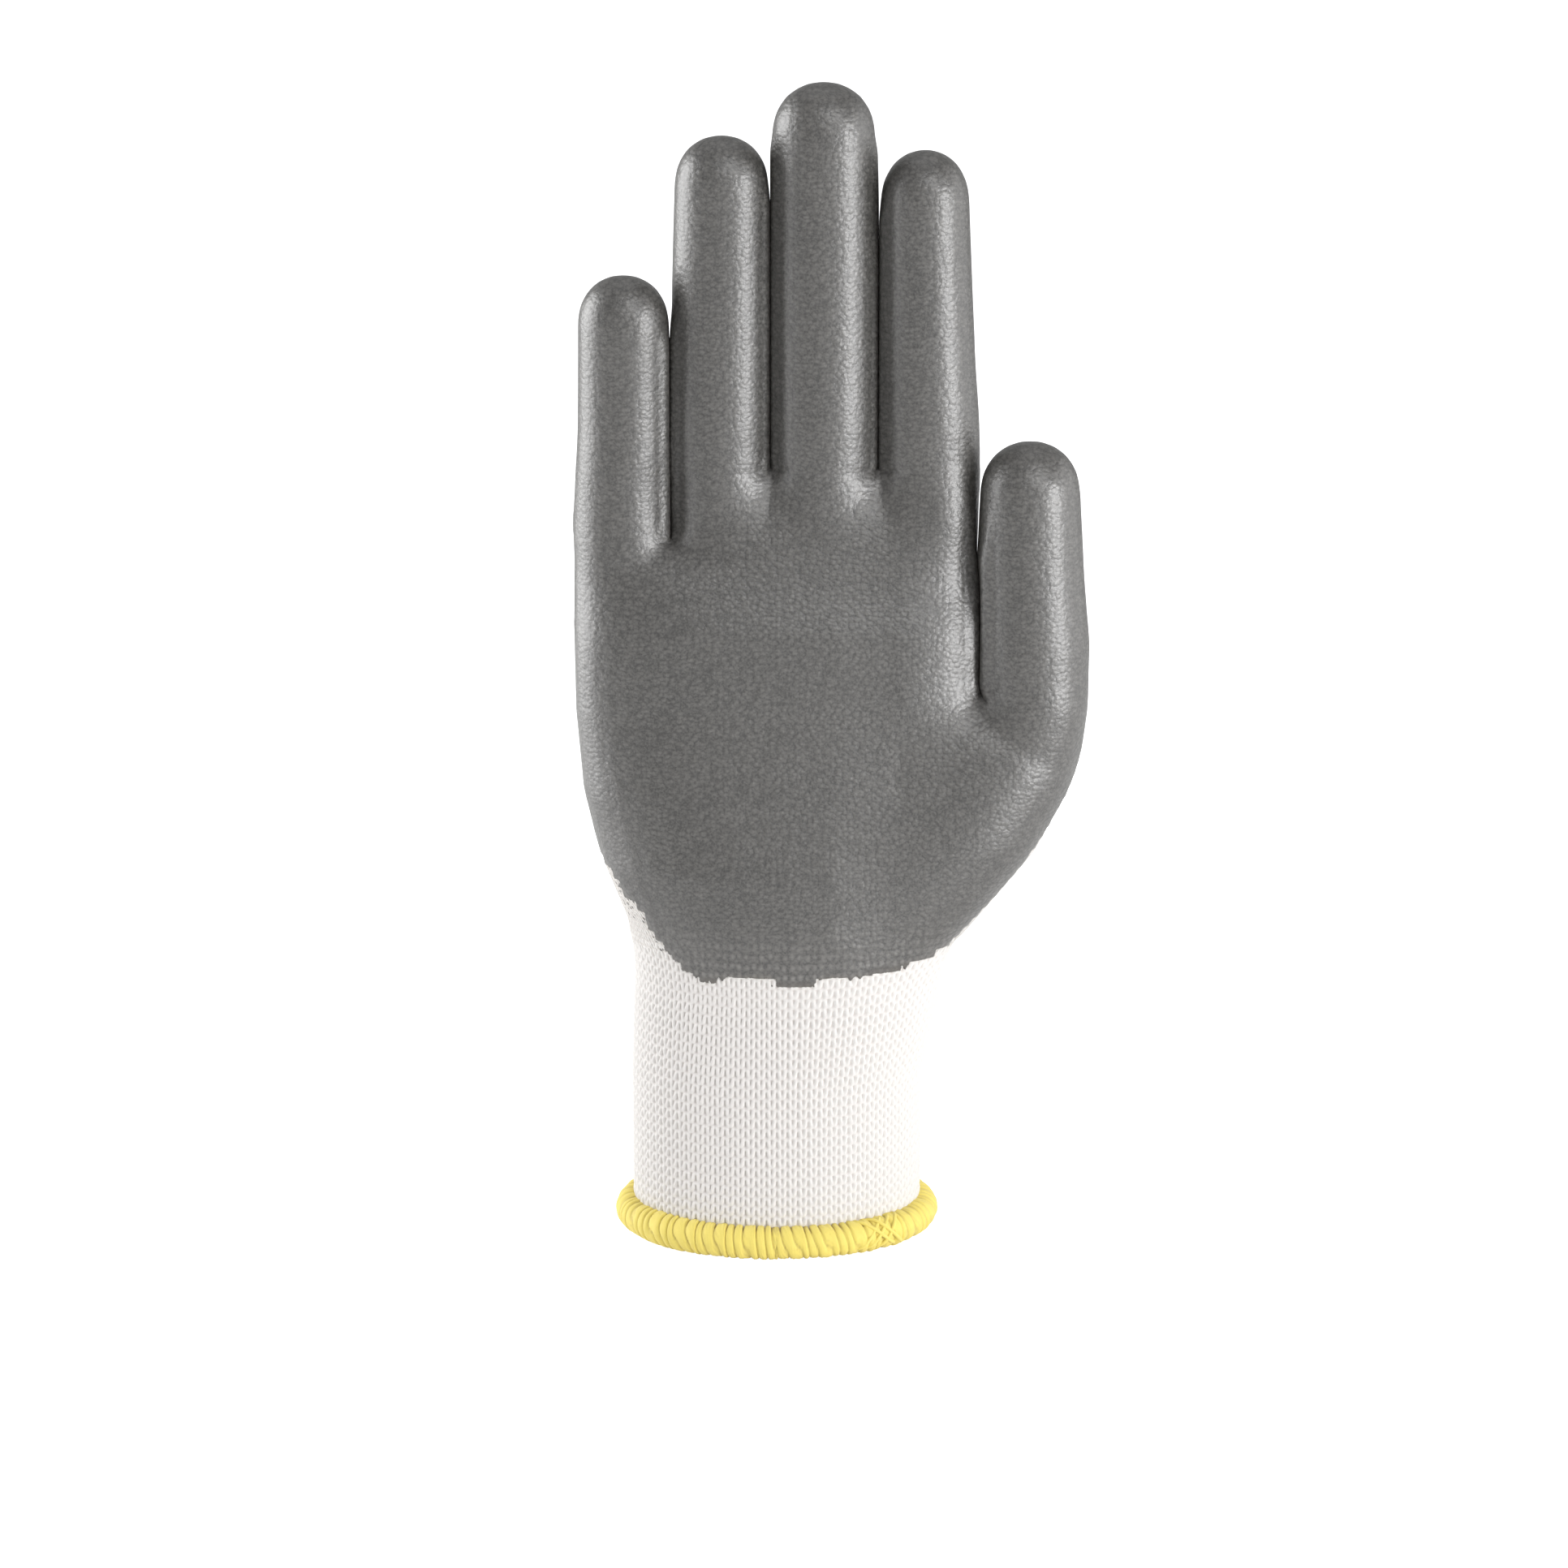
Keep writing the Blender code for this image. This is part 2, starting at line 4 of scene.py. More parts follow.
import bmesh
import bpy
import numpy as np
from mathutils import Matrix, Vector


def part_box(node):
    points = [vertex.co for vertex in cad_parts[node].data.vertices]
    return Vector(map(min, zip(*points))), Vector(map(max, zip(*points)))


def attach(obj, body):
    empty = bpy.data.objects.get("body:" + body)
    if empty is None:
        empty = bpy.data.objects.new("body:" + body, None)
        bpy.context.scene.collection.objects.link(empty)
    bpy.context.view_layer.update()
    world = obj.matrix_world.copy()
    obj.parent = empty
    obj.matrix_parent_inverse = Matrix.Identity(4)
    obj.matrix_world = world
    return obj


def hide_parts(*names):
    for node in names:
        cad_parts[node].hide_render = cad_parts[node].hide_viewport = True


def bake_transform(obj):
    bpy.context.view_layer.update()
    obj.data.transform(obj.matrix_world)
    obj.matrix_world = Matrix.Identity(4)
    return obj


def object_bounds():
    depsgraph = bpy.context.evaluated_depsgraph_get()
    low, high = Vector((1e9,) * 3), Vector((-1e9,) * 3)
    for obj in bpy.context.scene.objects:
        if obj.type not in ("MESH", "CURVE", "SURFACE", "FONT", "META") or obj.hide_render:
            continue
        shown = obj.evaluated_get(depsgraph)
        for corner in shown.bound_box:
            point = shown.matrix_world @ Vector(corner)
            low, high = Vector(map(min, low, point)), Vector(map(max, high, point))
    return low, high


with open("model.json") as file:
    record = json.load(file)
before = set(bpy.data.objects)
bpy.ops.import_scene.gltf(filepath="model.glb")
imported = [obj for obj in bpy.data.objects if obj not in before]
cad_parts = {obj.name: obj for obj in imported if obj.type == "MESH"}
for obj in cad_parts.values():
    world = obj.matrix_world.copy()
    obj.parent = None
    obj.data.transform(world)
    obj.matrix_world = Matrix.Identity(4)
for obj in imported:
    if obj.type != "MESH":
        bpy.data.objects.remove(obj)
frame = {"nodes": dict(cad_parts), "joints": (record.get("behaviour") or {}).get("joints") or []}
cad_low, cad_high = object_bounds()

MM = 0.001

# Studio: the glove stands on its hem on white paper in a white room. A soft
# key light comes from the front right, a low one gives the fingers their
# sheen, and broad lights at both sides and above keep the rims pale.
scene = bpy.context.scene
scene.view_settings.view_transform = "Standard"
photo_width, eye_distance, eye_height = 0.3376, 0.95, math.radians(14.5)
look_at = Vector((0.0016, 0.0, 0.0998))
camera = bpy.data.objects.new("camera", bpy.data.cameras.new("camera"))
scene.collection.objects.link(camera)
backward = Vector((0, -math.cos(eye_height), math.sin(eye_height)))
camera.location = look_at + backward * eye_distance
camera.rotation_mode = "QUATERNION"
camera.rotation_quaternion = (-backward).to_track_quat("-Z", "Y")
camera.data.sensor_width = 36
camera.data.lens = camera.data.sensor_width * eye_distance / photo_width
scene.camera = camera

bpy.ops.mesh.primitive_plane_add(size=30, location=(0, 0, cad_low.z - 0.2 * MM))
floor = bpy.context.object
floor.name = "floor"
paper = bpy.data.materials.new("white_paper")
paper.use_nodes = True
paper_face = paper.node_tree.nodes["Principled BSDF"]
paper_face.inputs["Base Color"].default_value = (0.93, 0.93, 0.93, 1)
paper_face.inputs["Roughness"].default_value = 0.9
paper_face.inputs["Emission Color"].default_value = (1, 1, 1, 1)
paper_ray = paper.node_tree.nodes.new("ShaderNodeLightPath")
paper.node_tree.links.new(paper_ray.outputs["Is Camera Ray"], paper_face.inputs["Emission Strength"])
floor.data.materials.append(paper)

for name, place, wide, tall, power in (
    ("key_light", (0.30, -0.95, 0.80), 0.5, 0.5, 3.2),
    ("low_light", (0.60, -0.50, 0.16), 0.26, 0.28, 3.6),
    ("left_side_light", (-0.75, 0.12, 0.25), 0.7, 0.7, 7.4),
    ("right_side_light", (0.78, 0.06, 0.25), 0.8, 0.8, 2.3),
    ("top_light", (0.0, 0.1, 1.2), 0.8, 0.8, 1.0),
):
    light = bpy.data.objects.new(name, bpy.data.lights.new(name, "AREA"))
    light.data.shape, light.data.energy = "RECTANGLE", power
    light.data.size, light.data.size_y = wide, tall
    light.location = place
    light.rotation_mode = "QUATERNION"
    light.rotation_quaternion = (look_at - Vector(place)).to_track_quat("-Z", "Y")
    scene.collection.objects.link(light)

world = bpy.data.worlds.new("white_room")
world.use_nodes = True
scene.world = world
room = world.node_tree
room_light = room.nodes["Background"]
room_light.inputs["Color"].default_value = (1, 1, 1, 1)
room_light.inputs["Strength"].default_value = 0.37
room_seen = room.nodes.new("ShaderNodeBackground")
room_seen.inputs["Color"].default_value = (1, 1, 1, 1)
room_seen.inputs["Strength"].default_value = 1.0
choose, room_ray = room.nodes.new("ShaderNodeMixShader"), room.nodes.new("ShaderNodeLightPath")
room.links.new(room_ray.outputs["Is Camera Ray"], choose.inputs["Fac"])
room.links.new(room_light.outputs[0], choose.inputs[1])
room.links.new(room_seen.outputs[0], choose.inputs[2])
room.links.new(choose.outputs[0], room.nodes["World Output"].inputs["Surface"])

# Filled shape: the knitted hand is one seamless tube with five stalls. The
# separate solids, a plug in the opening and the webs between stalls are closed
# over into one skin, which the knit and the coating are then both laid on.
FINGERS = ("little", "ring", "middle", "index", "thumb")
hinge = {j["name"]: Vector(j["pos_m"]) for j in frame["joints"]}
grain, slit_fill = 0.8 * MM, 0.2 * MM
points, faces = [], []


def add_solid(corners, sides):
    """Puts a solid's points and faces with those of the filled shape."""
    first = len(points)
    points.extend(corners)
    faces.extend([[first + i for i in side] for side in sides])


for lift in (-slit_fill, 0, slit_fill):
    for name, node in frame["nodes"].items():
        if name.endswith("_knit"):
            corners = [v.co + Vector((0, 0, lift)) for v in node.data.vertices]
            add_solid(corners, [p.vertices for p in node.data.polygons])

cuff_low, cuff_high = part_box("cuff_knit")
plug_wide, plug_deep = cuff_high.x - MM / 2, cuff_high.y - MM / 2
plug_bottom, plug_top, plug_corners = cuff_low.z + 1 * MM, cuff_low.z + 4 * MM, 48
plug = []
for height in (plug_bottom, plug_top):
    for k in range(plug_corners):
        turn = 2 * math.pi * k / plug_corners
        plug.append(Vector((plug_wide * math.cos(turn), plug_deep * math.sin(turn), height)))
plug_sides = [list(reversed(range(plug_corners))), list(range(plug_corners, 2 * plug_corners))]
for k in range(plug_corners):
    n = (k + 1) % plug_corners
    plug_sides.append([k, n, plug_corners + n, plug_corners + k])
add_solid(plug, plug_sides)

thumb_low, thumb_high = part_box("thumb_base_knit")
thumb_web_half, finger_web_half = Vector((3.6, 7.0, 6.0)) * MM, Vector((1.6, 6.5, 4.0)) * MM
thumb_web_place = Vector(
    (thumb_low.x + 0.2 * MM, (thumb_low.y + thumb_high.y) / 2, thumb_low.z - 4.5 * MM)
)
webs = [(thumb_web_place, thumb_web_half)]
for left, right in (("ring", "middle"), ("middle", "index")):
    left_low, left_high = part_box(left + "_base_knit")
    between_x = (left_high.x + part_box(right + "_base_knit")[0].x) / 2
    place = Vector((between_x, (left_low.y + left_high.y) / 2, hinge[left + "_root"].z - 1.5 * MM))
    webs.append((place, finger_web_half))
ball = bmesh.new()
bmesh.ops.create_uvsphere(ball, u_segments=24, v_segments=16, radius=1.0)
for place, half in webs:
    add_solid([place + v.co * half for v in ball.verts], [[v.index for v in f.verts] for f in ball.faces])
ball.free()

mesh = bpy.data.meshes.new("filled_shape")
mesh.from_pydata(points, [], faces)
filled = bpy.data.objects.new("filled_shape", mesh)
scene.collection.objects.link(filled)
skin = filled.modifiers.new("skin", "REMESH")
skin.mode, skin.voxel_size = "VOXEL", grain
mesh = bpy.data.meshes.new_from_object(filled.evaluated_get(bpy.context.evaluated_depsgraph_get()))
bpy.data.objects.remove(filled)


def read(what, key, width, kind=np.float64):
    """Numbers of a mesh's points, edges or corners as rows of the given width."""
    data = np.zeros(len(what) * width, np.float32 if kind is np.float64 else kind)
    what.foreach_get(key, data)
    return data.astype(kind).reshape(-1, width) if width > 1 else data.astype(kind)


def between(at, ends):
    """The middle of each point's neighbours."""
    total = np.zeros_like(at)
    for axis in range(3):
        total[:, axis] = np.bincount(ends[:, 0], at[ends[:, 1], axis], len(at))
        total[:, axis] += np.bincount(ends[:, 1], at[ends[:, 0], axis], len(at))
    return total / np.maximum(np.bincount(ends.ravel(), minlength=len(at)), 1)[:, None]


def smooth(at, ends, rounds):
    """Draws points to the middle of their neighbours and lets them back, so that steps go and size stays."""
    for step in (0.5, -0.52) * rounds:
        at = at + step * (between(at, ends) - at)
    return at


def relax(at, ends, share, rounds, pull=0.5):
    """Draws points to the middle of their neighbours, each by its own share of the pull."""
    for _ in range(rounds):
        at = at + pull * share[:, None] * (between(at, ends) - at)
    return at


def fill_hollows(at, ends, way_out, share, rounds):
    """Lifts the points that lie deeper than their neighbours, each by its own share."""
    for _ in range(rounds):
        hollow = np.maximum(((between(at, ends) - at) * way_out).sum(1), 0)
        at = at + way_out * (0.9 * share * hollow)[:, None]
    return at


def normals_of(at, faces):
    """The way out at each point: the sum of the crossed edges of the faces round it."""
    across = np.cross(at[faces[:, 2]] - at[faces[:, 0]], at[faces[:, -1]] - at[faces[:, 1]])
    total = np.zeros_like(at)
    for corner in range(faces.shape[1]):
        for axis in range(3):
            total[:, axis] += np.bincount(faces[:, corner], across[:, axis], len(at))
    return total / np.maximum(np.linalg.norm(total, axis=1, keepdims=True), 1e-12)


def rising(value, low, high):
    """0 up to low, 1 from high on, and an even sweep between."""
    t = np.clip((value - low) / (high - low), 0, 1)
    return t * t * (3 - 2 * t)


def falling(value, low, high):
    return 1 - rising(value, low, high)


at = read(mesh.vertices, "co", 3)
ends = read(mesh.edges, "vertices", 2, np.int32)
quads = read(mesh.loops, "vertex_index", 1, np.int32).reshape(-1, 4)
at = smooth(at, ends, rounds=24)

# Where each finger begins: the stalls part near their roots, where the round
# of the knit is split, and the cloth turns over a stretch at root and crease.
wrist_low, wrist_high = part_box("wrist_knit")
thumb_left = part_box("thumb_base_coating")[0].x - 0.3 * MM
high_web, low_web, longest_bend = 1.2 * MM, -2.2 * MM, 14 * MM
web = {
    f: hinge[f + "_root"].z + (high_web if f in ("ring", "middle", "index") else low_web)
    for f in FINGERS
}
thumb_web = web["thumb"]
spans, REGIONS = {}, ["hand"]
for f in FINGERS:
    root, crease = hinge[f + "_root"], hinge[f + "_crease"]
    bend = min(longest_bend, 0.45 * (crease.z - root.z))
    base_low, base_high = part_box(f + "_base_knit")
    tip_low, tip_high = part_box(f + "_tip_knit")
    spans[f] = {
        "middle": (base_low.x + base_high.x) / 2,
        "radius": (base_high.x - base_low.x) / 2,
        "root": root.z,
        "top": tip_high.z,
        "low_y": (base_low.y + base_high.y) / 2,
        "top_y": (tip_low.y + tip_high.y) / 2,
        "cut": web[f],
        "turn": (min(web[f], root.z) + 1.0 * MM, root.z + bend),
        "cut_crease": root.z + bend + 0.5 * (crease.z - root.z - 2 * bend),
        "turn_crease": (crease.z - bend, crease.z + bend),
    }
    REGIONS += [f + "_base", f + "_tip"]
grooves = [
    (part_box(a + "_base_coating")[1].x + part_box(b + "_base_coating")[0].x) / 2
    for a, b in zip(FINGERS[:3], FINGERS[1:])
]
slit = ([0.0, 1.0], [thumb_left, thumb_left])


def region_of(p):
    """0 on the hand, then 1 and 2 for the little finger's base and tip, and so on to the thumb."""
    found = np.zeros(len(p), int)
    finger = np.searchsorted(grooves, p[:, 0])
    finger[(p[:, 0] > np.interp(p[:, 2], *slit)) & (p[:, 2] < spans["thumb"]["top"] + 3 * MM)] = 4
    for k, f in enumerate(FINGERS):
        mine = (finger == k) & (p[:, 2] > spans[f]["cut"])
        found[mine] = 1 + 2 * k
        found[mine & (p[:, 2] > spans[f]["cut_crease"])] = 2 + 2 * k
    return found


def of_finger(region, k):
    return (region == 1 + 2 * k) | (region == 2 + 2 * k)


# Worn shape: filled out, the palm is broad and smooth and runs on into the ball
# of the thumb and the fingers, which lie against each other with no light
# between them. The knit only stretches for this, so points move and none go.
film, knit_lift, touch = 0.45 * MM, 0.30 * MM, 0.06 * MM


def mm(*sizes):
    return [size * MM for size in sizes]


palm_up = mm(60, 72)
joint_right, joint_left, joint_top = mm(20, 30), mm(50, 60), mm(112, 119)
ball_right, ball_up, ball_top = mm(12, 22), mm(60, 70), mm(110, 119)
ball_edge, ball_bottom, ball_end = mm(8, 58, 122)
slit_right, slit_up, square_right = mm(24, 32), mm(110, 118), mm(16, 30)
finger_middles = [spans[f]["middle"] for f in FINGERS[:4]]
finger_roots = [spans[f]["root"] for f in FINGERS[:4]]
face_out = normals_of(at, quads)
x, y, z = at.T
root_height = np.interp(x, finger_middles, finger_roots)
soft = rising(np.abs(face_out[:, 1]), 0.1, 0.5) * rising(z, *palm_up)
soft *= falling(z, root_height + 4 * MM, root_height + 14 * MM)
soft *= 1 - (x > thumb_left) * rising(z, thumb_web + 2 * MM, thumb_web + 10 * MM)
at = fill_hollows(at, ends, face_out, soft, rounds=180)
x, y, z = at.T
thumb_joint = rising(x, *joint_right) * falling(x, *joint_left) * falling(z, *joint_top)
below_fingers = rising(z, root_height - 30 * MM, root_height - 18 * MM) * (x < thumb_left)
at = relax(at, ends, soft * np.maximum(below_fingers, thumb_joint), rounds=60, pull=0.7)


def patch_of(chosen):
    """The numbers of the chosen points, and the edges between them counted within the patch."""
    patch = np.flatnonzero(chosen)
    number = np.full(len(at), -1)
    number[patch] = np.arange(len(patch))
    inner = number[ends]
    return patch, inner[(inner >= 0).all(1)]


x, y, z = at.T
in_ball = (x > ball_edge) & (z > ball_bottom) & (z < ball_end)
ball, ball_ends = patch_of(in_ball & (face_out[:, 1] < 0.3))
loose = rising(x[ball], *ball_right) * rising(z[ball], *ball_up)
loose *= falling(z[ball], *ball_top) * rising(-face_out[ball, 1], 0.0, 0.35)
at[ball] = fill_hollows(at[ball], ball_ends, face_out[ball], loose, rounds=700)
at[ball] = relax(at[ball], ball_ends, loose, rounds=250)

beside = rising(x, *slit_right) * rising(z, *slit_up) * (x < thumb_left)
beside *= falling(z, root_height, root_height + 8 * MM)
share = np.clip(x / (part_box("index_base_knit")[1].x + 0.4 * MM), 0, 0.97)
round_power, square_power, squared = 2.3, 5, 0.4
fuller = (1 - share**square_power) ** (1 / square_power) / (1 - share**round_power) ** (1 / round_power) - 1
square = rising(x, *square_right) * (x < thumb_left) * (y < 0)
square *= rising(z, thumb_web - 16 * MM, thumb_web + 4 * MM)
square *= falling(z, root_height - 8 * MM, root_height + 6 * MM)
at[:, 1] *= 1 + squared * fuller * square
at = relax(at, ends, beside, rounds=12)
at = smooth(at, ends, rounds=6)
part = region_of(at)


def edges_at(mine, low, high):
    """Left and right edge of the chosen points at each millimetre of height from low to high."""
    spots = np.arange(low, high, 1.0 * MM)
    row = np.clip(np.round((at[mine, 2] - low) / MM).astype(int), 0, len(spots) - 1)
    left, right = np.full(len(spots), 9.0), np.full(len(spots), -9.0)
    np.minimum.at(left, row, at[mine, 0])
    np.maximum.at(right, row, at[mine, 0])
    return spots, left, right


cover = film + knit_lift + touch
slit_bottom, slit_top = thumb_web + 3 * MM, hinge["index_root"].z + 10 * MM
palm_edge = (part == 0) | (part == 1 + 2 * FINGERS.index("index"))
palm_edge &= (at[:, 2] > slit_bottom) & (at[:, 0] < thumb_left)
spots, _, palm_right = edges_at(palm_edge, slit_bottom, slit_top)
slim = {"little": (0.9, 0.0), "ring": (1.7, 0.3), "middle": (0.5, 1.2), "index": (0.3, 2.6)}
moved = at[:, 0].copy()
for k, f in enumerate(FINGERS):
    s = spans[f]
    mine, dome_start = of_finger(part, k), s["top"] - s["radius"]
    height, left, right = edges_at(mine & (at[:, 2] < dome_start), s["cut"], dome_start)
    share = np.clip((height - s["root"]) / (s["top"] - s["root"]), 0, 1)
    to_left, to_right = left.copy(), right.copy()
    if f in ("ring", "middle", "index"):
        to_left = grooves[k - 1] + cover + slim[f][0] * MM * share**2
    if f in ("little", "ring", "middle"):
        to_right = grooves[k] - cover - slim[f][1] * MM * share**2
    if f == "little":
        to_left = to_left + slim[f][0] * MM
    if f == "index":
        to_right = to_right - slim[f][1] * MM * share
    if f == "thumb":
        to_left = np.interp(height, spots, palm_right) + 2 * cover - 0.25 * MM
    soon = rising(height, s["cut"], s["cut"] + (6 if f == "thumb" else 2.5) * MM)
    slowly = rising(height, s["cut"], s["cut"] + 26 * MM)
    to_left = left + (to_left - left) * (slowly if f == "little" else soon)
    to_right = right + (to_right - right) * (slowly if f == "index" else soon)
    old_left, old_right, new_left, new_right = (
        np.interp(at[mine, 2], height, edge) for edge in (left, right, to_left, to_right)
    )
    moved[mine] = new_left + (at[mine, 0] - old_left) * (new_right - new_left) / (old_right - old_left)
at[:, 0] = moved
slit = (spots, palm_right + cover - 0.12 * MM)
at = smooth(at, ends, rounds=4)

x, y, z = at.T
crotch = rising(x, thumb_left - 16 * MM, thumb_left - 8 * MM)
crotch *= rising(z, thumb_web - 14 * MM, thumb_web - 7 * MM)
crotch *= falling(z, thumb_web + 6 * MM, thumb_web + 14 * MM)
thumb_y = spans["thumb"]["low_y"]
thumb_root = rising(y, thumb_y - 3 * MM, thumb_y + 3 * MM) * (x > thumb_left)
thumb_root *= rising(z, thumb_web - 16 * MM, thumb_web - 8 * MM)
thumb_root *= falling(z, thumb_web + 8 * MM, thumb_web + 16 * MM)
at = relax(at, ends, np.maximum(crotch, thumb_root), rounds=40)

wave_counts, fewest_points = (1, 2, 3, 4), 30
for k, f in enumerate(FINGERS):
    s = spans[f]
    mine = np.flatnonzero(of_finger(part, k))
    p, up = at[mine, :2], at[mine, 2]
    row = np.maximum((up - s["cut"]) / MM, 0).astype(int)
    rows = row.max() + 1
    low, high = np.full((rows, 2), 9.0), np.full((rows, 2), -9.0)
    np.minimum.at(low, row, p)
    np.maximum.at(high, row, p)
    centre, row_height = (low + high) / 2, s["cut"] + (np.arange(rows) + 0.5) * MM
    for _ in range(4):
        centre[1:-1] = (centre[:-2] + 2 * centre[1:-1] + centre[2:]) / 4
    away = p - np.stack([np.interp(up, row_height, centre[:, a]) for a in (0, 1)], 1)
    far, turn = np.hypot(*away.T), np.arctan2(away[:, 1], away[:, 0])
    waves = [np.ones(len(turn))] + [g(m * turn) for m in wave_counts for g in (np.cos, np.sin)]
    waves = np.stack(waves, 1)
    terms = waves.shape[1]
    share = np.zeros((rows, terms))
    for i in range(rows):
        here = row == i
        if here.sum() > fewest_points:
            share[i] = np.linalg.lstsq(waves[here], far[here], rcond=None)[0]
        else:
            share[i] = share[i - 1]
    for _ in range(2):
        share[1:-1] = (share[:-2] + 2 * share[1:-1] + share[2:]) / 4
    even = sum(np.interp(up, row_height, share[:, j]) * waves[:, j] for j in range(terms))
    hold = rising(up, s["cut"] + 3 * MM, s["cut"] + 10 * MM)
    hold *= falling(up, s["top"] - 0.5 * s["radius"], s["top"] - 0.2 * s["radius"])
    at[mine, :2] += away * ((even / far - 1) * hold)[:, None]

face_out = normals_of(at, quads)
no_dome = 9.0
dome = np.array([no_dome] + [spans[f]["top"] - spans[f]["radius"] for f in FINGERS for _ in (0, 1)])[part]
below_dome = falling(at[:, 2], dome - 4 * MM, dome + 1 * MM)
closing = (
    ("little", 1.6 * MM, 1.4 * MM, 0.0, (14 * MM, 5 * MM)),
    ("ring", 1.2 * MM, 1.1 * MM, 0.0, None),
    ("middle", 1.2 * MM, 1.1 * MM, 0.02 * MM, None),
    ("thumb", 2.4 * MM, 2.0 * MM, 0.0, (30 * MM, 9 * MM)),
)
for k, (f, close, most, apart, fade) in enumerate(closing):
    line = np.interp(at[:, 2], spots, palm_right) + cover if f == "thumb" else grooves[k]
    away = line - at[:, 0]
    facing = rising(face_out[:, 0] * np.sign(away), 0.1, 0.8)
    facing *= falling(np.abs(away), close, close + 1.0 * MM)
    facing *= rising(at[:, 2], web[f] - 5 * MM, web[f] - 1 * MM) * below_dome
    if fade:
        facing *= falling(at[:, 2], spans[f]["top"] - fade[0], spans[f]["top"] - fade[1])
    at[:, 0] += np.sign(away) * facing * np.clip(np.abs(away) - film - knit_lift - apart, 0, most)
at = smooth(at, ends, rounds=2)

face_out = normals_of(at, quads)
from_thumb, above_web, front = at[:, 0] - thumb_left, at[:, 2] - thumb_web, -face_out[:, 1]
near_web = (np.abs(from_thumb) < 22 * MM) & (np.abs(above_web + 12 * MM) < 26 * MM)
ball, ball_ends = patch_of(near_web & (front > -0.2))
from_thumb, above_web, front = from_thumb[ball], above_web[ball], front[ball]
loose = falling(np.abs(from_thumb), 10 * MM, 18 * MM) * rising(above_web, -30 * MM, -20 * MM)
loose *= falling(above_web, -3 * MM, 4 * MM) * rising(front, -0.1, 0.2)
palm_side = (from_thumb < -1 * MM) * rising(from_thumb, -18 * MM, -10 * MM) * rising(front, 0.1, 0.5)
palm_side *= rising(above_web, -8 * MM, 0) * falling(above_web, 6 * MM, 14 * MM)
hollow = np.maximum(loose, palm_side)
at[ball] = fill_hollows(at[ball], ball_ends, face_out[ball], hollow, rounds=500)
at[ball] = relax(at[ball], ball_ends, loose, rounds=120)

# Round measure: the knit runs round the hand in courses, so each height and
# turn has the skin's distance from the middle line, and the millimetres of
# cloth that lead there from the front.
body_top, first_level = web["little"], cuff_low.z + 2 * MM
turns, step = 144, 1.2 * MM
off_thumb = (at[:, 0] < thumb_left) | (at[:, 2] < thumb_web - 3 * MM)
inside = (at[:, 2] < body_top) & (at[:, 2] > first_level) & off_thumb
levels = int((body_top - first_level) / step)
turn = np.arctan2(at[inside, 0], -at[inside, 1])
row = np.clip(((at[inside, 2] - first_level) / step).astype(int), 0, levels - 1)
column = ((turn / (2 * np.pi) + 0.5) * turns).astype(int) % turns
cell = row * turns + column
many = np.bincount(cell, minlength=levels * turns).reshape(levels, turns)
outer = np.hypot(at[inside, 0], at[inside, 1])
farthest = np.zeros(levels * turns)
np.maximum.at(farthest, cell, outer)
reach = np.bincount(cell, outer, levels * turns).reshape(levels, turns) / np.maximum(many, 1)
mound_level = int((thumb_web - 23 * MM - first_level) / step)
reach[mound_level:] = farthest.reshape(levels, turns)[mound_level:]
middle_turn = (np.arange(turns) + 0.5) / turns * 2 * np.pi - np.pi
for k in range(levels):
    there = many[k] > 0
    reach[k] = np.interp(middle_turn, middle_turn[there], reach[k, there], period=2 * np.pi)
for _ in range(2):
    reach = (np.roll(reach, 1, 1) + 2 * reach + np.roll(reach, -1, 1)) / 4
    reach[1:-1] = (reach[:-2] + 2 * reach[1:-1] + reach[2:]) / 4
edge_turn = np.arange(turns + 1) / turns * 2 * np.pi - np.pi
at_edge = (reach + np.roll(reach, 1, 1)) / 2
at_edge = np.hstack([at_edge, at_edge[:, :1]])
along = np.hypot(reach * 2 * np.pi / turns, np.diff(at_edge, axis=1))
along = np.hstack([np.zeros((levels, 1)), np.cumsum(along, axis=1)])
along -= along[:, turns // 2 : turns // 2 + 1]
level_height = first_level + (np.arange(levels) + 0.5) * step


def looked_up(table, height, turn):
    """A value of one of these tables between its rows and columns."""
    r = np.clip((height - level_height[0]) / step, 0, levels - 1.001)
    c = np.clip((turn / (2 * np.pi) + 0.5) * turns, 0, turns - 0.001)
    i, j = r.astype(int), c.astype(int)
    a, b = r - i, c - j
    low = table[i, j] * (1 - b) + table[i, j + 1] * b
    high = table[i + 1, j] * (1 - b) + table[i + 1, j + 1] * b
    return low * (1 - a) + high * a


# Edge of the dip: the glove is dipped palm down, so the coating ends along
# the sides, goes over the fingertips and dips lowest under the palm. Its lower
# edge is as seen in front: millimetres right of what is looked at, and above.
side_past_middle, tip_wrap = 3.0 * MM, 10.0 * MM
dip_edge = (
    ((-46.5, 6.3), (-40.7, -10.5), (-38.8, -14.9), (-35.6, -20.9), (-33.1, -24.7))
    + ((-30.3, -27.6), (-27.9, -32.3), (-24.6, -36.4), (-21.1, -40.2), (-18.3, -42.1))
    + ((-3.1, -41.9), (-1.4, -43.0), (1.2, -43.5), (6.3, -43.0), (8.8, -41.8))
    + ((17.1, -42.1), (19.3, -40.5), (25.3, -39.4), (30.3, -37.5), (34.4, -35.0))
    + ((38.5, -31.7), (44.8, -26.3), (50.5, -19.7), (55.4, -13.7), (63.6, -2.4))
)
edge_right, edge_up = np.array(dip_edge).T * MM
thumb_side, other_side = (-12 * MM, 0.9), (-4 * MM, 0.6)


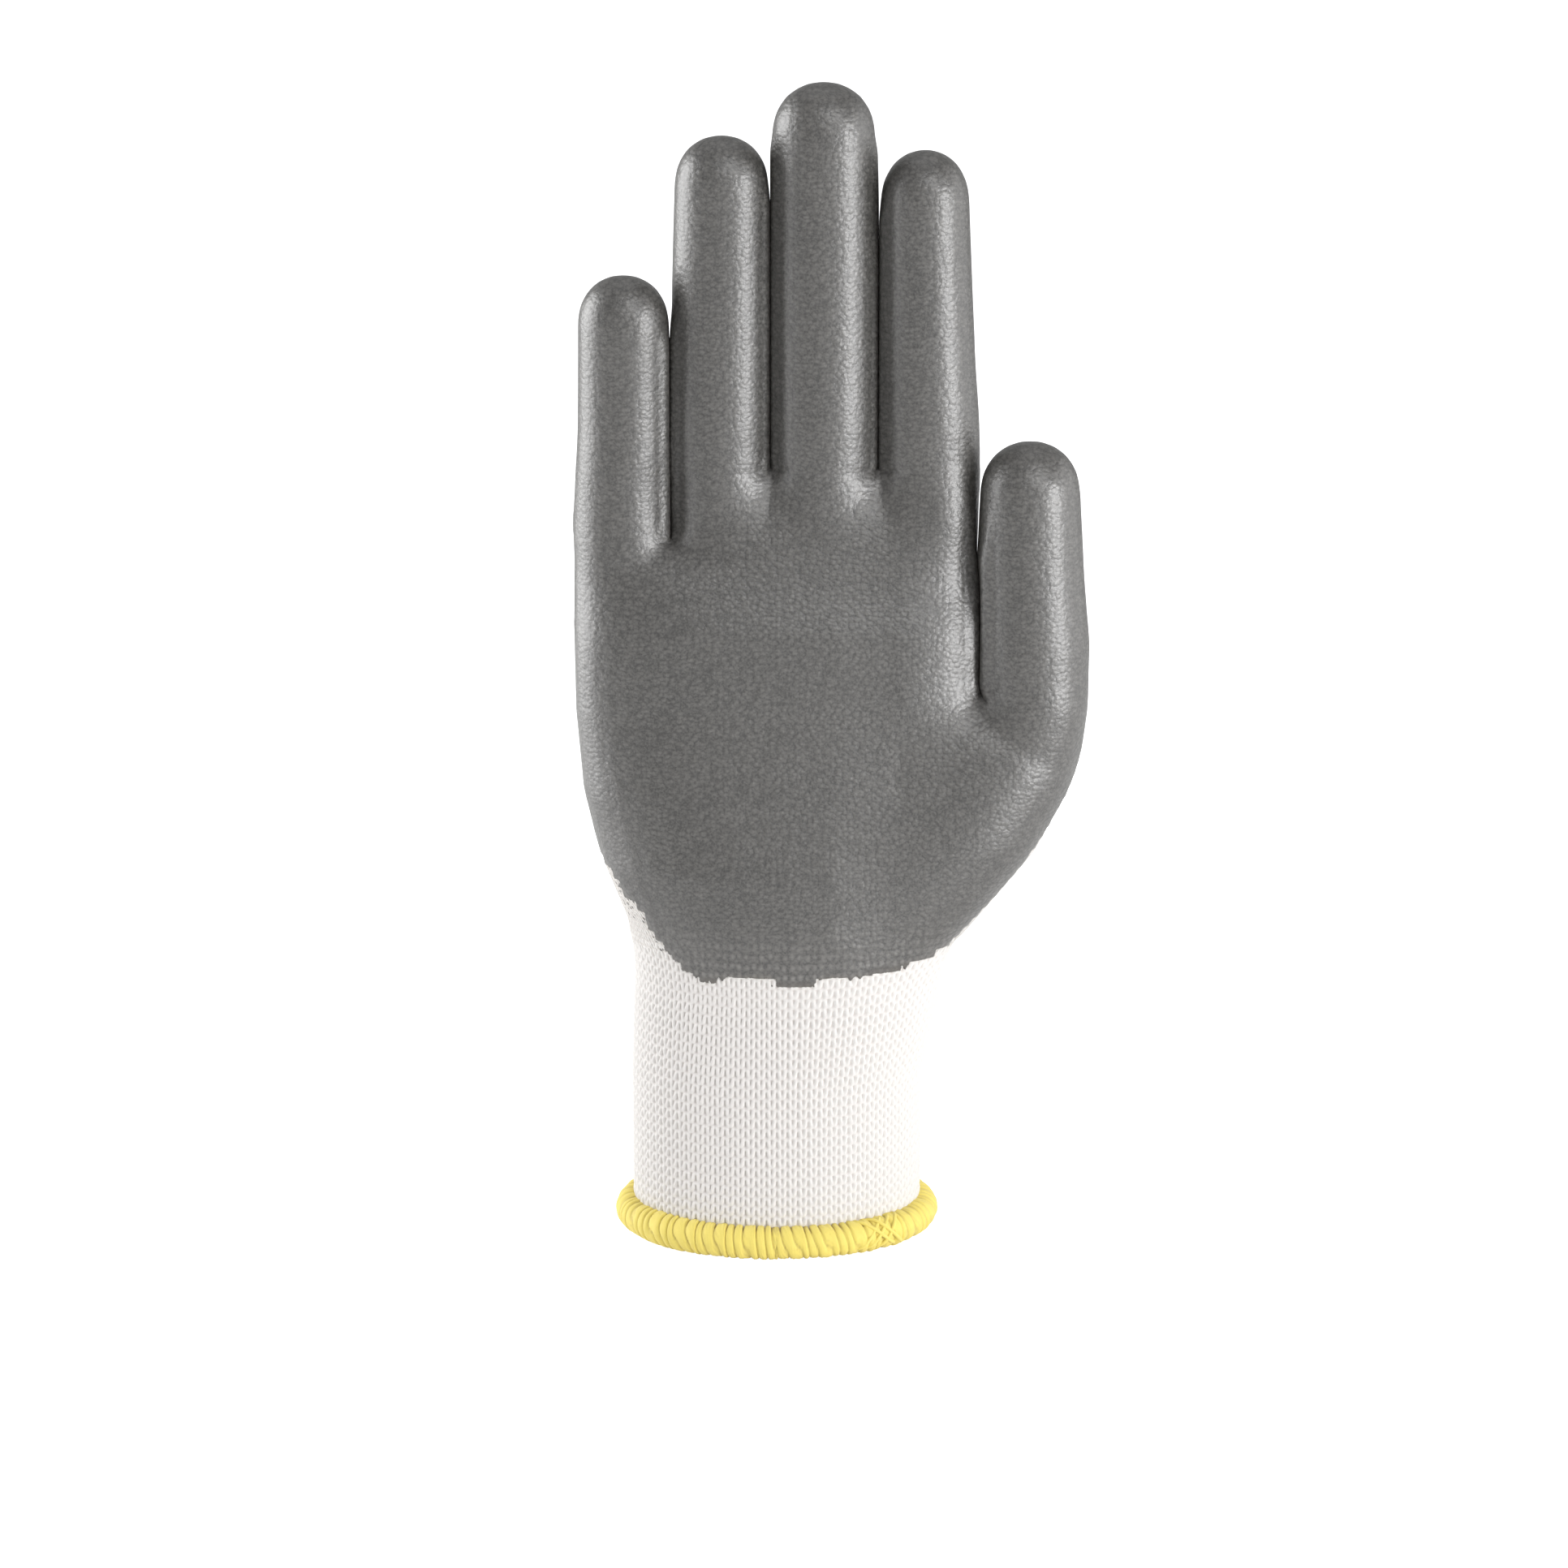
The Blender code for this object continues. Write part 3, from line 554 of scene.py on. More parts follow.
def seen(p):
    """Where points show from the camera's place: how far right of what is looked at, and how far above."""
    from_middle = p - np.array(look_at)
    nearer = eye_distance / (eye_distance - from_middle @ np.array(backward))
    up = from_middle[:, 1] * math.sin(eye_height) + from_middle[:, 2] * math.cos(eye_height)
    return from_middle[:, 0] * nearer, up * nearer


def dip_depth(p, region):
    """How far inside the coating's edge a point is; below 0 is bare knit."""
    x, y, z = p.T
    right, up = seen(p)
    climb_right, climb_left = (
        slope * np.maximum(y - start, 0) for start, slope in (thumb_side, other_side)
    )
    line = np.interp(right, edge_right, edge_up) + np.where(x > 0, climb_right, climb_left)
    on_mound = rising(x, 38 * MM, 50 * MM) * rising(z, 84 * MM, 112 * MM)
    side = side_past_middle + spans["thumb"]["low_y"] * on_mound
    depth = np.minimum(side - y, 0.75 * (up - line))
    for k, f in enumerate(FINGERS):
        s = spans[f]
        share = np.clip((z - s["root"]) / (s["top"] - s["root"]), 0, 1)
        past = s["low_y"] + (s["top_y"] - s["low_y"]) * share + side_past_middle - y
        over = z - (s["top"] - tip_wrap) + 0.3 * (s["top_y"] - y)
        depth = np.where(of_finger(region, k), np.maximum(past, over), depth)
    return depth


def new_mesh(name, at, faces):
    mesh = bpy.data.meshes.new(name)
    mesh.from_pydata(at.tolist(), [], faces if isinstance(faces, list) else faces.tolist())
    mesh.update()
    return mesh


finer_near, finer_cuts = 2.2 * MM, 2
kept = at[quads][:, :, 2].mean(1) > wrist_high.z - 1.4 * MM
used, coarse_faces = np.unique(quads[kept], return_inverse=True)
coarse_faces = coarse_faces.reshape(-1, 4)
coarse = at[used]
near = np.abs(dip_depth(coarse, region_of(coarse))) < finer_near
bm = bmesh.new()
bm.from_mesh(new_mesh("skin", coarse, coarse_faces))
bm.verts.ensure_lookup_table()
split = [e for e in bm.edges if near[e.verts[0].index] and near[e.verts[1].index]]
bmesh.ops.subdivide_edges(bm, edges=split, cuts=finer_cuts, use_grid_fill=True)
bmesh.ops.triangulate(bm, faces=bm.faces)
mesh = bpy.data.meshes.new("skin_fine")
bm.to_mesh(mesh)
bm.free()
fine = read(mesh.vertices, "co", 3)
fine_faces = read(mesh.loops, "vertex_index", 1, np.int32).reshape(-1, 3)
fine = smooth(fine, read(mesh.edges, "vertices", 2, np.int32), rounds=3)

# Furrows: where the stalls and the thumb leave the palm the filled glove folds
# a little, in soft creases that run out over the palm. Each has its path across
# and up in millimetres, its depth where it starts and its width.
furrows = (
    (((44.5, 117.5), (50, 113), (58, 107), (65, 103)), 0.55, 3.2),
    (((-22.4, 154.5), (-30, 149), (-41, 144)), 0.5, 2.2),
    (((-1.6, 163), (-3.5, 155)), 0.22, 1.8),
    (((21.4, 163.5), (24.5, 156)), 0.22, 1.8),
)
out = normals_of(fine, fine_faces)
sink = np.zeros(len(fine))
for path, deep, width in furrows:
    path = np.array(path) * MM
    share = np.linspace(0, 1, 25)
    stops = np.linspace(0, 1, len(path))
    line = np.stack([np.interp(share, stops, path[:, 0]), np.interp(share, stops, path[:, 1])], 1)
    away = np.linalg.norm(fine[:, None, [0, 2]] - line[None], axis=2)
    nearest = away.argmin(1)
    here = deep * MM * (1 - share[nearest]) ** 0.7 * np.exp(-((away.min(1) / (width * MM)) ** 2))
    sink = np.maximum(sink, here * rising(-out[:, 1], 0.1, 0.6))
fine = fine - out * sink[:, None]

# Knit measure: the cloth keeps its stitches when it bends, so each point has
# its millimetres round and up, from the front for the coating and from the
# back for the bare knit, and its depth inside the dip's edge.
out = normals_of(fine, fine_faces)
region = region_of(fine)
x, y, z = fine.T
round_mm = looked_up(along, z, np.arctan2(x, -y))
half_left, half_right = (
    looked_up(np.repeat(along[:, [end]], turns + 1, axis=1), z, 0 * z) for end in (0, -1)
)
back_mm = np.where(x < 0, half_left - round_mm, half_right - round_mm)
root_height = np.interp(x, finger_middles, finger_roots)
on_thumb = rising(x, thumb_left - 10 * MM, thumb_left)
on_thumb *= rising(z, thumb_web - 40 * MM, thumb_web - 4 * MM)
straight = np.maximum(rising(z, root_height - 60 * MM, root_height - 8 * MM), on_thumb)
back_mm = back_mm + (x - back_mm) * straight
for k, f in enumerate(FINGERS):
    s = spans[f]
    mine = of_finger(region, k)
    share = np.clip((z - s["root"]) / (s["top"] - s["root"]), 0, 1)
    off_x, off_y = x - s["middle"], y - s["low_y"] - (s["top_y"] - s["low_y"]) * share
    round_mm = np.where(mine, s["radius"] * np.arctan2(off_x, -off_y) + s["middle"], round_mm)
    curl = rising(z, s["cut"], s["cut"] + 18 * MM)
    from_back = s["middle"] + s["radius"] * np.arctan2(off_x, off_y)
    back_mm = np.where(mine, x + (from_back - x) * curl, back_mm)
depth = dip_depth(fine, region)
wale, course = 2.1 * MM, 2.1 * MM
edge_snap, edge_stray, edge_scallop = 0.7, 0.4 * MM, 0.1 * MM


def chance_of(number, spread):
    """A chance from 0 to 1 that is always the same for the same number."""
    return np.modf(np.abs(np.sin(number) * spread))[0]


cell_u, cell_v = np.floor(round_mm / wale), np.floor(z / course)
chance = chance_of(cell_u * 12.9898 + cell_v * 78.233, 43758.5453)
level_way = np.cross((0, 0, 1), out)
level_way /= np.maximum(np.linalg.norm(level_way, axis=1, keepdims=True), 0.05)
to_cell = ((cell_u + 0.5) * wale - round_mm)[:, None] * level_way
to_cell[:, 2] += (cell_v + 0.5) * course - z
scallop = edge_scallop * np.cos(2 * np.pi * (round_mm / wale - 0.5)) * np.abs(level_way[:, 0])
stepped = dip_depth(fine + edge_snap * to_cell, region) + (chance - 0.5) * edge_stray + scallop
tri_region = region_of(fine[fine_faces].mean(1))
coated = stepped[fine_faces].mean(1) > 0
knit_mm = np.stack([round_mm, z, depth], 1) / MM
back_mm = np.stack([back_mm, z, depth], 1) / MM

# Dipped coating: one thin grey film of matt rubbery plastic, set on the knit
# by dipping, smooth but with the stitches showing through; its edge follows
# the stitches and thins out to nothing.
pebble_size, dot_size = (1.25, 1.7, 0.9), (1.6, 2.25)
rim_film, thin_from, full_from = 0.03 * MM, -0.5 * MM, 1.6 * MM


def wire(tree, kind, settings, inputs):
    """A node with its settings made and its sockets linked or set."""
    node = tree.nodes.new(kind)
    for key, value in settings.items():
        setattr(node, key, value)
    for key, value in inputs.items():
        if isinstance(value, bpy.types.NodeSocket):
            tree.links.new(value, node.inputs[key])
        else:
            node.inputs[key].default_value = value
    return node


def noted(tree, name):
    """What the cloth's points carry under a name."""
    return wire(tree, "ShaderNodeAttribute", {"attribute_name": name}, {}).outputs


def worked(tree, operation, *values):
    return wire(tree, "ShaderNodeMath", {"operation": operation}, dict(enumerate(values))).outputs[0]


def stretched(tree, vector, factors):
    inputs = {0: vector, 1: factors}
    return wire(tree, "ShaderNodeVectorMath", {"operation": "MULTIPLY"}, inputs).outputs[0]


def mottled(tree, vector, scale, detail):
    inputs = {"Vector": vector, "Scale": scale, "Detail": detail}
    return wire(tree, "ShaderNodeTexNoise", {}, inputs).outputs["Fac"]


def dots(tree, vector, stray):
    inputs = {"Vector": vector, "Scale": 1.0, "Randomness": stray}
    return wire(tree, "ShaderNodeTexVoronoi", {}, inputs).outputs


def ranged(tree, value, low, high, at_low, at_high):
    """A value led from one range over to another."""
    inputs = {"Value": value, 1: low, 2: high, 3: at_low, 4: at_high}
    return wire(tree, "ShaderNodeMapRange", {}, inputs).outputs[0]


def shaded(tree, share, *stops):
    """A colour that goes from the first stop's to the second's."""
    ramp = wire(tree, "ShaderNodeValToRGB", {}, {"Fac": share})
    for element, (position, colour) in zip(ramp.color_ramp.elements, stops):
        element.position, element.color = position, (*colour, 1)
    return ramp.outputs["Color"]


def dyed(tree, share, colour, dye):
    """A colour with a dye laid over it by a share."""
    inputs = {"Factor": share, 6: colour, 7: (*dye, 1)}
    return wire(tree, "ShaderNodeMix", {"data_type": "RGBA"}, inputs).outputs[2]


def raised(tree, height, strength, distance):
    inputs = {"Strength": strength, "Distance": distance, "Height": height}
    return wire(tree, "ShaderNodeBump", {}, inputs).outputs[0]


def new_finish(name):
    finish = bpy.data.materials.new(name)
    finish.use_nodes = True
    return finish, finish.node_tree


def finished(tree, colour, relief, **values):
    """Leads colour and relief to the surface, and sets its other values."""
    face = tree.nodes["Principled BSDF"]
    tree.links.new(colour, face.inputs["Base Color"])
    tree.links.new(relief, face.inputs["Normal"])
    for key, value in values.items():
        face.inputs[key.replace("_", " ")].default_value = value
    return face


coating, t = new_finish("grey_dip")
cloth_mm, rest_mm = noted(t, "knit_mm")["Vector"], noted(t, "rest_mm")["Vector"]
parts = wire(t, "ShaderNodeSeparateXYZ", {}, {0: cloth_mm}).outputs
pebble = dots(t, stretched(t, rest_mm, [1 / size for size in pebble_size]), 0.8)["Distance"]
relief = worked(t, "MULTIPLY_ADD", pebble, -1.0, mottled(t, rest_mm, 1.3, 3.0))
bump = raised(t, relief, 0.65, 0.14 * MM)
grey = shaded(
    t, mottled(t, rest_mm, 0.06, 2.0), (0.3, (0.022, 0.0208, 0.0188)), (0.7, (0.031, 0.0293, 0.0265))
)
grey = dyed(t, ranged(t, pebble, 0.1, 0.6, 0.30, 0.0), grey, (0.24, 0.23, 0.215))
pores = ranged(t, mottled(t, rest_mm, 2.4, 2.0), 0.40, 0.64, 0.0, 0.5)
grey = dyed(t, pores, grey, (0.125, 0.12, 0.111))
course_dots = dots(t, stretched(t, cloth_mm, (1 / dot_size[0], 1 / dot_size[1], 0)), 0.22)
dot = ranged(t, course_dots["Distance"], 0.12, 0.42, 1.0, 0.0)
low_rows = ranged(t, parts[1], 62.0, 77.0, 0.5, 0.0)
grey = dyed(t, worked(t, "MULTIPLY", low_rows, dot), grey, (0.26, 0.25, 0.235))
grey = dyed(t, ranged(t, parts[2], -0.4, 1.1, 0.8, 0.0), grey, (0.075, 0.064, 0.052))
face = finished(
    t, grey, bump, Roughness=0.46, Specular_IOR_Level=1.0, Coat_Weight=0.8, Coat_Roughness=0.36
)
t.links.new(bump, face.inputs["Coat Normal"])


def set_piece(name, at, faces, normals, cloth, material):
    """A shown piece with smooth shading, the way out at its points given, and its knit measure."""
    mesh = new_mesh(name, at, faces)
    mesh.polygons.foreach_set("use_smooth", [True] * len(mesh.polygons))
    mesh.normals_split_custom_set_from_vertices(normals.tolist())
    note = mesh.attributes.new("knit_mm", "FLOAT_VECTOR", "POINT")
    note.data.foreach_set("vector", np.asarray(cloth, np.float32).ravel())
    mesh.materials.append(material)
    obj = bpy.data.objects.new(name, mesh)
    scene.collection.objects.link(obj)
    return obj


def follow(obj, name):
    """The hand's pieces go with the hand; the other pieces stay where they are."""
    if name == "hand":
        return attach(obj, "hand")
    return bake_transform(obj)


film_faces = fine_faces[coated]
sides = np.sort(np.vstack([film_faces[:, [0, 1]], film_faces[:, [1, 2]], film_faces[:, [2, 0]]]), 1)
sides, shared = np.unique(sides, axis=0, return_counts=True)
rim = np.zeros(len(fine), bool)
rim[sides[shared == 1].ravel()] = True
thick = film * (0.6 + 0.4 * rising(depth, thin_from, full_from))
thick[rim] = rim_film
film_at = fine + out * (knit_lift + thick)[:, None]
film_out = normals_of(film_at, film_faces)
for k, name in enumerate(REGIONS):
    used, mine = np.unique(fine_faces[coated & (tri_region == k)], return_inverse=True)
    node = "palm_coating" if name == "hand" else name + "_coating"
    mine = mine.reshape(-1, 3)
    piece = set_piece(node + "_film", film_at[used], mine, film_out[used], knit_mm[used], coating)
    note = piece.data.attributes.new("rest_mm", "FLOAT_VECTOR", "POINT")
    note.data.foreach_set("vector", (film_at[used] / MM).astype(np.float32).ravel())
    follow(piece, name)
    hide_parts(node)

# Knitted liner, hand and fingers: fine white plain knit of cut resistant yarn,
# knitted in one piece without seams; bare on the back and below the dip. Each
# cloth has its outer face where it is bare, and its lining all over.
wale_mm, course_mm, speck_mm, wall = 1.7, 1.35, 1.1, 1.1 * MM
knit, t = new_finish("white_knit")
cloth_mm = noted(t, "knit_mm")["Vector"]
parts = wire(t, "ShaderNodeSeparateXYZ", {}, {0: cloth_mm}).outputs
across = worked(t, "PINGPONG", worked(t, "MULTIPLY", parts[0], 1 / wale_mm), 0.5)
loop = worked(t, "PINGPONG", worked(t, "MULTIPLY_ADD", parts[1], 1 / course_mm, across), 0.5)
leg = worked(t, "ABSOLUTE", worked(t, "MULTIPLY_ADD", across, -2.0, 0.5))
yarn = worked(t, "SUBTRACT", loop, leg)
# Painted shade: the white is drawn darker down between the yarn legs, where shade falls in the stitches.
white = shaded(t, yarn, (0.0, (0.62, 0.59, 0.56)), (0.2, (0.73, 0.71, 0.69)))
specks = dots(t, stretched(t, cloth_mm, (1 / speck_mm, 1 / speck_mm, 0)), 0.9)
drop = ranged(t, specks["Distance"], 0.26, 0.34, 1.0, 0.0)
pick = wire(t, "ShaderNodeSeparateColor", {}, {0: specks["Color"]}).outputs[0]
some = worked(t, "LESS_THAN", pick, ranged(t, parts[2], -3.2, 0.0, 0.0, 0.85))
white = dyed(t, worked(t, "MULTIPLY", drop, some), white, (0.16, 0.15, 0.14))
finished(t, white, raised(t, yarn, 0.8, 0.4 * MM), Roughness=0.85, Sheen_Weight=0.15)

far_from_dip, under_film = -50 * MM, 2.0 * MM
lining_out = normals_of(coarse, coarse_faces)
lining_at = coarse - lining_out * wall
lining_region = region_of(coarse[coarse_faces].mean(1))
lining_mm = np.stack([coarse[:, 0], coarse[:, 2], np.full(len(coarse), far_from_dip)], 1) / MM
above_sleeve = fine[fine_faces][:, :, 2].mean(1) > wrist_high.z + 9 * MM
bare = (depth[fine_faces].min(1) < under_film) & above_sleeve
knit_at = fine + out * knit_lift
for k, name in enumerate(REGIONS):
    used, outer = np.unique(fine_faces[bare & (tri_region == k)], return_inverse=True)
    behind, inner = np.unique(coarse_faces[lining_region == k][:, ::-1], return_inverse=True)
    node = name + "_knit"
    piece = set_piece(
        node + "_cloth",
        np.vstack([knit_at[used], lining_at[behind]]),
        outer.reshape(-1, 3).tolist() + (inner.reshape(-1, 4) + len(used)).tolist(),
        np.vstack([out[used], -lining_out[behind]]),
        np.vstack([back_mm[used], lining_mm[behind]]),
        knit,
    )
    follow(piece, name)
    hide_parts(node)

# Cuff and wrist: the same piece of knit in a thicker white yarn with rubber,
# drawn in over the wrist; each stitch is a pair of yarn legs in a V, and the
# stitches flatten out where the hand begins.
wales, courses, round_steps, up_steps = 76, 34, 8, 7
leg_length, leg_start, leg_spread, leg_half, leg_lift = 1.2, 0.08, 0.30, 0.24, 0.55 * MM
sleeve_top, sleeve_round_mm = wrist_high.z + 21 * MM, 190
columns, tube_rows = wales * round_steps, courses * up_steps + 1
heights = np.linspace(cuff_low.z, sleeve_top, tube_rows)
tube_u = np.arange(columns) / columns - 0.5
tube = np.zeros((tube_rows, columns, 3))
for k, height in enumerate(heights):
    i = int(np.clip((height - first_level) / step, 0, levels - 1))
    length = np.where(tube_u < 0, -along[i, 0], along[i, -1])
    angle = np.interp(2 * tube_u * length, along[i], edge_turn)
    level = np.full(columns, height)
    out_here = looked_up(at_edge, level, angle)
    tube[k] = np.stack([out_here * np.sin(angle), -out_here * np.cos(angle), level], 1)
tube_out = np.cross(np.roll(tube, -1, 1) - np.roll(tube, 1, 1), np.gradient(tube, axis=0))
tube_out /= np.linalg.norm(tube_out, axis=2, keepdims=True)
in_wale, in_course = np.meshgrid((tube_u * wales) % 1.0, np.linspace(0, courses, tube_rows) % 1.0)
stitches = np.zeros_like(in_wale)
for course_off in (-1, 0, 1):
    on_leg = (in_course - course_off) / leg_length
    from_leg = np.abs(in_wale - 0.5) - leg_start - leg_spread * on_leg
    side = np.sqrt(np.maximum(1 - (from_leg / leg_half) ** 2, 0))
    leg_height = side * np.sqrt(np.sin(np.pi * np.clip(on_leg, 0, 1)))
    stitches = np.maximum(stitches, np.where((on_leg > 0) & (on_leg < 1), leg_height, 0))
past_wrist = rising(heights, wrist_high.z - 4 * MM, wrist_high.z + 2 * MM)
flat_above = rising(heights, wrist_high.z + 8 * MM, sleeve_top)
yarn_height = leg_lift * (1 - 0.25 * past_wrist - 0.75 * flat_above)
lift = (0.15 - 0.1 * past_wrist - 0.35 * rising(heights, wrist_high.z + 10 * MM, sleeve_top)) * MM
lift = lift[:, None] + stitches * yarn_height[:, None]
tube_at, tube_in = tube + tube_out * lift[:, :, None], tube - tube_out * wall

cuff_yarn, t = new_finish("white_cuff_yarn")
cloth_mm = noted(t, "knit_mm")["Vector"]
parts = wire(t, "ShaderNodeSeparateXYZ", {}, {0: cloth_mm}).outputs
fuzz = mottled(t, stretched(t, cloth_mm, (1, 1, 0)), 4.0, 3.0)
# Painted shade: the yarn is drawn darker where the stitches sink, between and below the yarn legs.
white = shaded(t, parts[2], (0.0, (0.56, 0.52, 0.495)), (0.6, (0.72, 0.70, 0.68)))
specks = dots(t, stretched(t, cloth_mm, (1 / speck_mm, 1 / speck_mm, 0)), 0.8)
drop = ranged(t, specks["Distance"], 0.25, 0.36, 1.0, 0.0)
pick = wire(t, "ShaderNodeSeparateColor", {}, {0: specks["Color"]}).outputs[0]
near_dip = ranged(t, noted(t, "dip_mm")["Fac"], -4.5, 0.0, 0.0, 0.6)
high_up = ranged(t, parts[1], 68.0, 74.0, 0.05, 1.0)
some = worked(t, "LESS_THAN", pick, worked(t, "MULTIPLY", near_dip, high_up))
white = dyed(t, worked(t, "MULTIPLY", drop, some), white, (0.13, 0.12, 0.11))
finished(t, white, raised(t, fuzz, 0.5, 0.1 * MM), Roughness=0.9, Sheen_Weight=0.2)


def tube_faces(rows, columns, closed=False):
    """Faces over rows of points that each go once round; a closed tube's last row joins its first."""
    grid = np.arange(rows * columns).reshape(rows, columns)
    above = np.roll(grid, -1, 0)
    faces = np.stack([grid, np.roll(grid, -1, 1), np.roll(above, -1, 1), above], 2)
    return (faces if closed else faces[:-1]).reshape(-1, 4)


# The third value is the stitch height, which sets the cuff yarn's painted shade; the lining takes its
# lightest colour.
inner_stitch = 0.6
tube_mm = np.stack(np.broadcast_arrays(tube_u * sleeve_round_mm, heights[:, None] / MM, stitches), 2)
inner_mm = tube_mm.copy()
inner_mm[:, :, 2] = inner_stitch
real_out = normals_of(tube_at.reshape(-1, 3), tube_faces(tube_rows, columns)).reshape(tube_at.shape)
wrist_row = int(np.argmin(np.abs(heights - wrist_low.z)))
hand_row = int(np.argmin(np.abs(heights - wrist_high.z - 0.5 * MM)))
on_hand = np.zeros(tube_rows * columns, int)
dip_mm = dip_depth(tube_at.reshape(-1, 3), on_hand).reshape(tube_rows, columns) / MM
for name, low, high in (
    ("cuff_knit", 0, wrist_row),
    ("wrist_knit", wrist_row, hand_row),
    ("hand_knit", hand_row, tube_rows - 1),
):
    where = slice(low, high + 1)
    outer = tube_faces(high - low + 1, columns)
    inner = outer[:, ::-1] + (high - low + 1) * columns
    outer = outer[dip_mm[where].ravel()[outer].min(1) < under_film / MM]
    piece = set_piece(
        name + ("_stitches" if name == "hand_knit" else "_cloth"),
        np.vstack([tube_at[where].reshape(-1, 3), tube_in[where].reshape(-1, 3)]),
        np.vstack([outer, inner]),
        np.vstack([real_out[where].reshape(-1, 3), -tube_out[where].reshape(-1, 3)]),
        np.vstack([tube_mm[where].reshape(-1, 3), inner_mm[where].reshape(-1, 3)]),
        cuff_yarn,
    )
    note = piece.data.attributes.new("dip_mm", "FLOAT", "POINT")
    note.data.foreach_set("value", np.tile(dip_mm[where].ravel(), 2).astype(np.float32))
    if name == "cuff_knit":
        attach(piece, "cuff")
    elif name == "hand_knit":
        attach(piece, "hand")
    else:
        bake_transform(piece)
    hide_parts(name)

# Overlocked hem: yellow sewing thread wrapped close round the cut edge of the
# cuff, in bundles of strands that lean a little, with one crossed join.
hem_low, hem_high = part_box("hem_thread")
hem_radius, hem_middle = (hem_high.z - hem_low.z) / 2, (hem_low.z + hem_high.z) / 2
ring_x, ring_y = hem_high.x - hem_radius, hem_high.y - hem_radius
wraps, wrap_steps, hem_sides, strands, wrap_mm = 84, 16, 36, 4, 2.2
bed, bundle_lift, strand_lift, notch_depth = 0.75 * MM, 0.55 * MM, 0.14 * MM, 0.7 * MM
upward = np.array([[0, 0, 1]])


def on_hem(turn):
    """The middle of the hem's roll at a turn round the opening, and the way out there."""
    middle = np.stack([ring_x * np.sin(turn), -ring_y * np.cos(turn), np.full(len(turn), hem_middle)], 1)
    way = np.stack([ring_y * np.sin(turn), -ring_x * np.cos(turn), np.zeros(len(turn))], 1)
    return middle, way / np.linalg.norm(way, axis=1, keepdims=True)


def rolled(path, radius, about, first_way, second_way):
    """Points round each point of a path, turned from the first way to the second."""
    first, second = np.cos(about)[:, :, None], np.sin(about)[:, :, None]
    return path[:, None] + radius[:, :, None] * (first * first_way[:, None] + second * second_way[:, None])


def turned_out(at, faces, path):
    """The faces of a rolled piece, turned over if they look in at its path."""
    away = (at - path[:, None]).reshape(-1, 3)
    return faces if (normals_of(at.reshape(-1, 3), faces) * away).sum() > 0 else faces[:, ::-1]


around = np.linspace(0, 2 * np.pi, 2001)
ring_length = np.cumsum(np.linalg.norm(np.diff(on_hem(around)[0], axis=0), axis=1))
ring_length = np.concatenate([[0], ring_length])
hem_share = np.arange(wraps * wrap_steps) / (wraps * wrap_steps)
hem_path, outward = on_hem(np.interp(hem_share * ring_length[-1], ring_length, around))
about, wrap = np.meshgrid(np.arange(hem_sides) / hem_sides * 2 * np.pi, hem_share * wraps)
lean = 0.35 + 0.15 * np.sin(wrap * 0.37)
place = wrap + lean * np.sin(about) + 0.22 * np.sin(wrap * 1.9) + 0.1 * np.sin(wrap * 4.3)
bundle = np.floor(place)
in_bundle = place - bundle
fat = 0.75 + 0.4 * chance_of((bundle % wraps) * 91.7, 4375.85)
roll_out = np.maximum(1 - np.abs(2 * in_bundle - 1) ** 2.6, 0) ** 0.6 * fat
strand = np.abs(np.sin(np.pi * (strands * in_bundle + 0.6 * about)))
notch = (1 - np.clip(roll_out, 0, 1)) * np.exp(-(((about - 1.5) / 0.45) ** 2))
notch *= 0.4 + 0.6 * (bundle % 3 == 0)
hem_reach = hem_radius - bed + bundle_lift * roll_out + strand_lift * strand - notch_depth * notch
hem_at = rolled(hem_path, hem_reach, about, outward, upward)
hem_faces = turned_out(hem_at, tube_faces(len(hem_share), hem_sides, closed=True), hem_path)
hem_at = hem_at.reshape(-1, 3)
# The third value draws the yellow darker between bundles, between strands and in the notches, as painted
# shade.
hem_mm = np.stack([wrap * wrap_mm, about * hem_radius / MM, 0.7 * roll_out + 0.3 * strand - notch], 2)
hem_mm = hem_mm.reshape(-1, 3)

join_middle, join_width, thread_radius, thread_sides, thread_steps = 20 * MM, 7 * MM, 0.42 * MM, 10, 40
thread_bed, thread_step, thread_dive, join_mm = 0.30 * MM, 0.07 * MM, 0.5 * MM, 300
crossings = ((-0.5, 0.35), (-0.25, 0.6), (0.1, 0.8), (0.55, -0.5), (0.75, -0.1))
for k, (from_x, to_x) in enumerate(crossings):
    share = np.linspace(0, 1, thread_steps)
    thread_x = join_middle + join_width * (from_x + (to_x - from_x) * share)
    thread_middle, way = on_hem(np.arcsin(thread_x / ring_x))
    tilt = (-0.7 + 2.3 * share)[:, None]
    way = np.cos(tilt) * way + np.sin(tilt) * upward
    ends_in = thread_dive * np.abs(2 * share - 1) ** 4
    path = thread_middle + way * (hem_radius - thread_bed + thread_step * k - ends_in)[:, None]
    run = np.gradient(path, axis=0)
    run /= np.linalg.norm(run, axis=1, keepdims=True)
    thread_turn = np.arange(thread_sides) / thread_sides * 2 * np.pi
    about = np.broadcast_to(thread_turn, (thread_steps, thread_sides))
    thread_at = rolled(path, np.full(about.shape, thread_radius), about, np.cross(run, way), way)
    thread_faces = turned_out(thread_at, tube_faces(thread_steps, thread_sides), path)
    # The join threads' third value draws them darker on their inner side, towards the cuff, as painted
    # shade.
    thread_mm = (join_mm + 9 * k + 12 * share[:, None], about, 0.55 + 0.4 * np.sin(about))
    thread_mm = np.stack(np.broadcast_arrays(*thread_mm), 2)
    hem_faces = np.vstack([hem_faces, thread_faces + len(hem_at)])
    hem_at = np.vstack([hem_at, thread_at.reshape(-1, 3)])
    hem_mm = np.vstack([hem_mm, thread_mm.reshape(-1, 3)])

